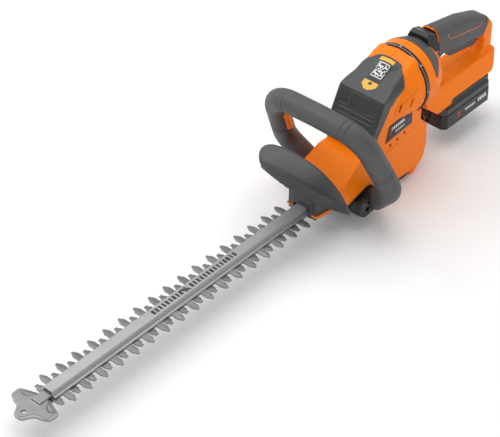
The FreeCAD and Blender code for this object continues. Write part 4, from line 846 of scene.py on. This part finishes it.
ARC = arc_tree()
laid_out("Angle_ticks", ARC, INKS["white"], "plate_black", "body", Count=5, First=-math.pi / 2,
         Apart=math.pi / 4, Centre=tuple(at(RING_X - 3.5, 0.0, SWIVEL_Z)), Radius=RING_R * MM,
         Size=(5.0 * MM, 1.1 * MM, 0.24 * MM))
laid_out("Angle_line", ARC, INKS["white"], "plate_black", "body", Count=61, First=-math.pi / 2,
         Apart=math.pi / 60, Centre=tuple(at(RING_X - 1.6, 0.0, SWIVEL_Z)), Radius=RING_R * MM,
         Size=(0.5 * MM, 2.0 * MM, 0.24 * MM))

# %% [markdown]
# ## Labels and piping
# A sticker or an inlaid line follows the surface it lies on. Each point of a flat outline is dropped onto
# the finished skin along one axis, and the sheet is then given a hair of thickness.

# %% Sheets that follow a surface
def surface_of(made):
    graph = bpy.context.evaluated_depsgraph_get()
    return BVHTree.FromObject(made, graph)


def dropped(name, grid, surface, origin, down, lift, thick):
    """A grid of points thrown onto a surface along one direction, as a thin solid sheet."""
    points, rows, columns = [], len(grid), len(grid[0])
    for row in grid:
        for spot in row:
            hit, normal, _, _ = surface.ray_cast(origin(spot), down)
            points.append(hit + normal * lift * MM)
    faces = [[r * columns + c, (r + 1) * columns + c, (r + 1) * columns + c + 1, r * columns + c + 1]
             for r in range(rows - 1) for c in range(columns - 1)]
    made = add_object(name, mesh_of(name, points, faces))
    work = bmesh.new()
    work.from_mesh(made.data)
    bmesh.ops.remove_doubles(work, verts=work.verts, dist=1e-7)
    average = sum((f.normal for f in work.faces), Vector())
    if average.dot(down) > 0:
        bmesh.ops.reverse_faces(work, faces=work.faces)
    work.to_mesh(made.data)
    work.free()
    body = made.modifiers.new("Body", "SOLIDIFY")
    body.thickness = thick * MM
    body.offset = 0.0
    return smooth(applied(made), 40)


def between(a, b, t):
    return tuple(p + (q - p) * t for p, q in zip(a, b))


def quad_grid(corners, rows, columns):
    """Evenly spaced spots inside four corners, in order round the patch."""
    a, b, c, d = corners
    return [[between(between(a, b, i / columns), between(d, c, i / columns), j / rows)
             for i in range(columns + 1)] for j in range(rows + 1)]


cover_skin = surface_of(cover)


def over_cover(spot):
    return at(spot[0], spot[1], 215.0)


DOWN = Vector((0, 0, -1))


def patch(x0, x1, half, end_half=None):
    """Corners of a label patch from x0 to x1, with its own half width at each end."""
    end_half = half if end_half is None else end_half
    return (x0, -half), (x0, half), (x1, end_half), (x1, -end_half)


label_parts = (("Label_base", patch(-195.0, -152.0, 13.0), "black", 0.10),
               ("Label_band", patch(-195.0, -189.0, 13.0), "yellow", 0.2),
               ("Label_frame", patch(-187.0, -164.0, 10.0), "white", 0.2),
               ("Label_field", patch(-185.6, -165.4, 8.8), "black", 0.28),
               ("Label_arrow", patch(-156.0, -148.0, 13.0), "yellow", 0.2),
               ("Label_point", patch(-148.0, -141.0, 13.0, 4.0), "yellow", 0.2),
               ("Label_dot", ((-152.0, -4.0), (-155.0, 0.0), (-152.0, 4.0), (-149.0, 0.0)), "black", 0.28))
for name, corners, ink, lift in label_parts:
    sheet = dropped(name, quad_grid(corners, 8, 10), cover_skin, over_cover, DOWN, lift, 0.08)
    placed(sheet, "plate_black", "body", INKS[ink])
print("label parts:", len(label_parts))

# %% [markdown]
# The label's field is filled with small white checks. Each is a patch of its own, so that it bends with
# the cover, and a plain rule on its row and column decides where one is.

# %% Checks inside the label's frame
def checks(columns, rows, x0, x1, y0, y1):
    """Small square patches in a plain alternating rule, as one sheet."""
    patches = []
    for i in range(columns):
        for j in range(rows):
            if (i * i + 3 * j * j + i * j) % 5 < 2:
                x, y = x0 + (x1 - x0) * i / columns, y0 + (y1 - y0) * j / rows
                dx, dy = (x1 - x0) / columns, (y1 - y0) / rows
                corners = ((x, y), (x, y + dy), (x + dx, y + dy), (x + dx, y))
                patches.append(dropped("Patch", quad_grid(corners, 1, 1), cover_skin, over_cover, DOWN,
                                       0.34, 0.06))
    sheet = add_object("Label_checks", joined([p.data for p in patches]))
    for patch in patches:
        bpy.data.objects.remove(patch)
    print("checks:", len(patches))
    return placed(sheet, "plate_black", "body", INKS["white"])


checks(8, 7, -184.6, -166.4, -8.0, 8.0)

# %% [markdown]
# Each flank has a dark plate with two lines of print and a red mark. Letters would tie the tool to a
# maker, so plain bars of uneven width stand for them. The bars are rows from the same tree as before.

# %% Print on the name plates
for side in ("left", "right"):
    sign = 1 if side == "left" else -1
    plate_y = (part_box("name_plates")[1].y if sign > 0 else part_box("name_plates")[0].y)
    turn = (0.0, math.radians(4.0), 0.0)
    for tag, x, z, count, apart, tall in (("big", -184.0, 88.0, 7, 4.6, 6.0),
                                          ("small", -184.0, 78.5, 6, 3.6, 3.2)):
        laid_out("Plate_" + tag + "_" + side, ROW, INKS["white"], "plate_black", "body", Count=count,
                 Uneven=0.35, Seed=5 if tag == "big" else 8, Turn=turn,
                 Start=(at(x, 0, z).x, plate_y, at(x, 0, z).z), Step=(apart * MM, 0.0, -apart * 0.07 * MM),
                 Size=(apart * 0.72 * MM, 0.16 * MM, tall * MM))
    laid_out("Plate_mark_" + side, ROW, INKS["red"], "plate_black", "body", Count=3, Uneven=0.0, Seed=1,
             Turn=(0.0, math.radians(-14.0), 0.0), Start=(at(-152.0, 0, 83.0).x, plate_y, at(0, 0, 83.0).z),
             Step=(-1.9 * MM, 0.0, 0.0), Size=(0.8 * MM, 0.16 * MM, 15.0 * MM))

# %% [markdown]
# The soft grip has a stippled panel on each flank inside a thin orange line. The line is laid onto the
# finished grip as a narrow ribbon, thrown sideways like the label was thrown down.

# %% Piping on the grip
grip = bpy.data.objects["Grip_Overmould_moulding"]
grip_skin = surface_of(grip)
PANEL = ((-318.0, 163.0), (-324.0, 152.0), (-404.0, 136.0), (-408.0, 143.0))


def ribbon(name, path, width, sign, skin, lift, thick, material):
    """A narrow strip along a flat path, thrown sideways onto a surface."""
    grid = []
    for (x0, z0), (x1, z1) in zip(path, path[1:]):
        count = max(int(math.hypot(x1 - x0, z1 - z0) / 2.0), 1)
        nx, nz = -(z1 - z0), x1 - x0
        size = math.hypot(nx, nz)
        for k in range(count + 1):
            x, z = x0 + (x1 - x0) * k / count, z0 + (z1 - z0) * k / count
            grid.append([(x + nx / size * width * s, z + nz / size * width * s) for s in (-0.5, 0.5)])

    def aside(spot):
        return at(spot[0], sign * 90.0, spot[1])

    made = dropped(name, grid, skin, aside, Vector((0, -sign, 0)), lift, thick)
    return placed(made, "orange_shell", "rear_handle", material)


for side, sign in (("left", 1), ("right", -1)):
    ribbon("Grip_piping_" + side, PANEL, 1.3, sign, grip_skin, 0.1, 0.35, INKS["piping"])
print("piping laid")

# %% [markdown]
# The battery shows a small printed field and a red mark on each flank. The ribs under its release catch are
# not made.

# %% Battery marks
for side, sign in (("left", 1), ("right", -1)):
    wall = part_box("battery_lower")[1].y if sign > 0 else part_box("battery_lower")[0].y
    laid_out("Battery_print_" + side, ROW, INKS["white"], "plate_black", "battery", Count=6, Uneven=0.4,
             Seed=3, Start=(at(-352.0, 0, 15.0).x, wall, at(0, 0, 15.0).z), Step=(-4.4 * MM, 0.0, 0.0),
             Size=(3.2 * MM, 0.16 * MM, 4.5 * MM))
    laid_out("Battery_code_" + side, ROW, INKS["white"], "plate_black", "battery", Count=4, Uneven=0.2,
             Seed=6, Start=(at(-386.0, 0, 16.0).x, wall, at(0, 0, 16.0).z), Step=(-5.6 * MM, 0.0, 0.0),
             Size=(4.2 * MM, 0.16 * MM, 7.0 * MM))
    laid_out("Battery_mark_" + side, ROW, INKS["red"], "plate_black", "battery", Count=3, Uneven=0.3,
             Seed=2, Start=(at(-334.0, 0, 12.0).x, wall, at(0, 0, 12.0).z), Step=(0.0, 0.0, 3.0 * MM),
             Size=(9.0 * MM, 0.16 * MM, 1.6 * MM))

# %% [markdown]
# ## Floor
# The pale floor is a sheet much larger than the tool, just under the battery and the foot.

# %% Floor
floor = add_object("Floor", mesh_of("Floor", [(-6, -6, 0), (6, -6, 0), (6, 6, 0), (-6, 6, 0)],
                                    [(0, 1, 2, 3)]))
floor.location.z = cad_box[0].z
floor.data.materials.append(finish("Pale floor", (0.93, 0.93, 0.93), 0.995, (0.75, 0.85), depth=0.0,
                                   rub=0.0, specular=0.2))
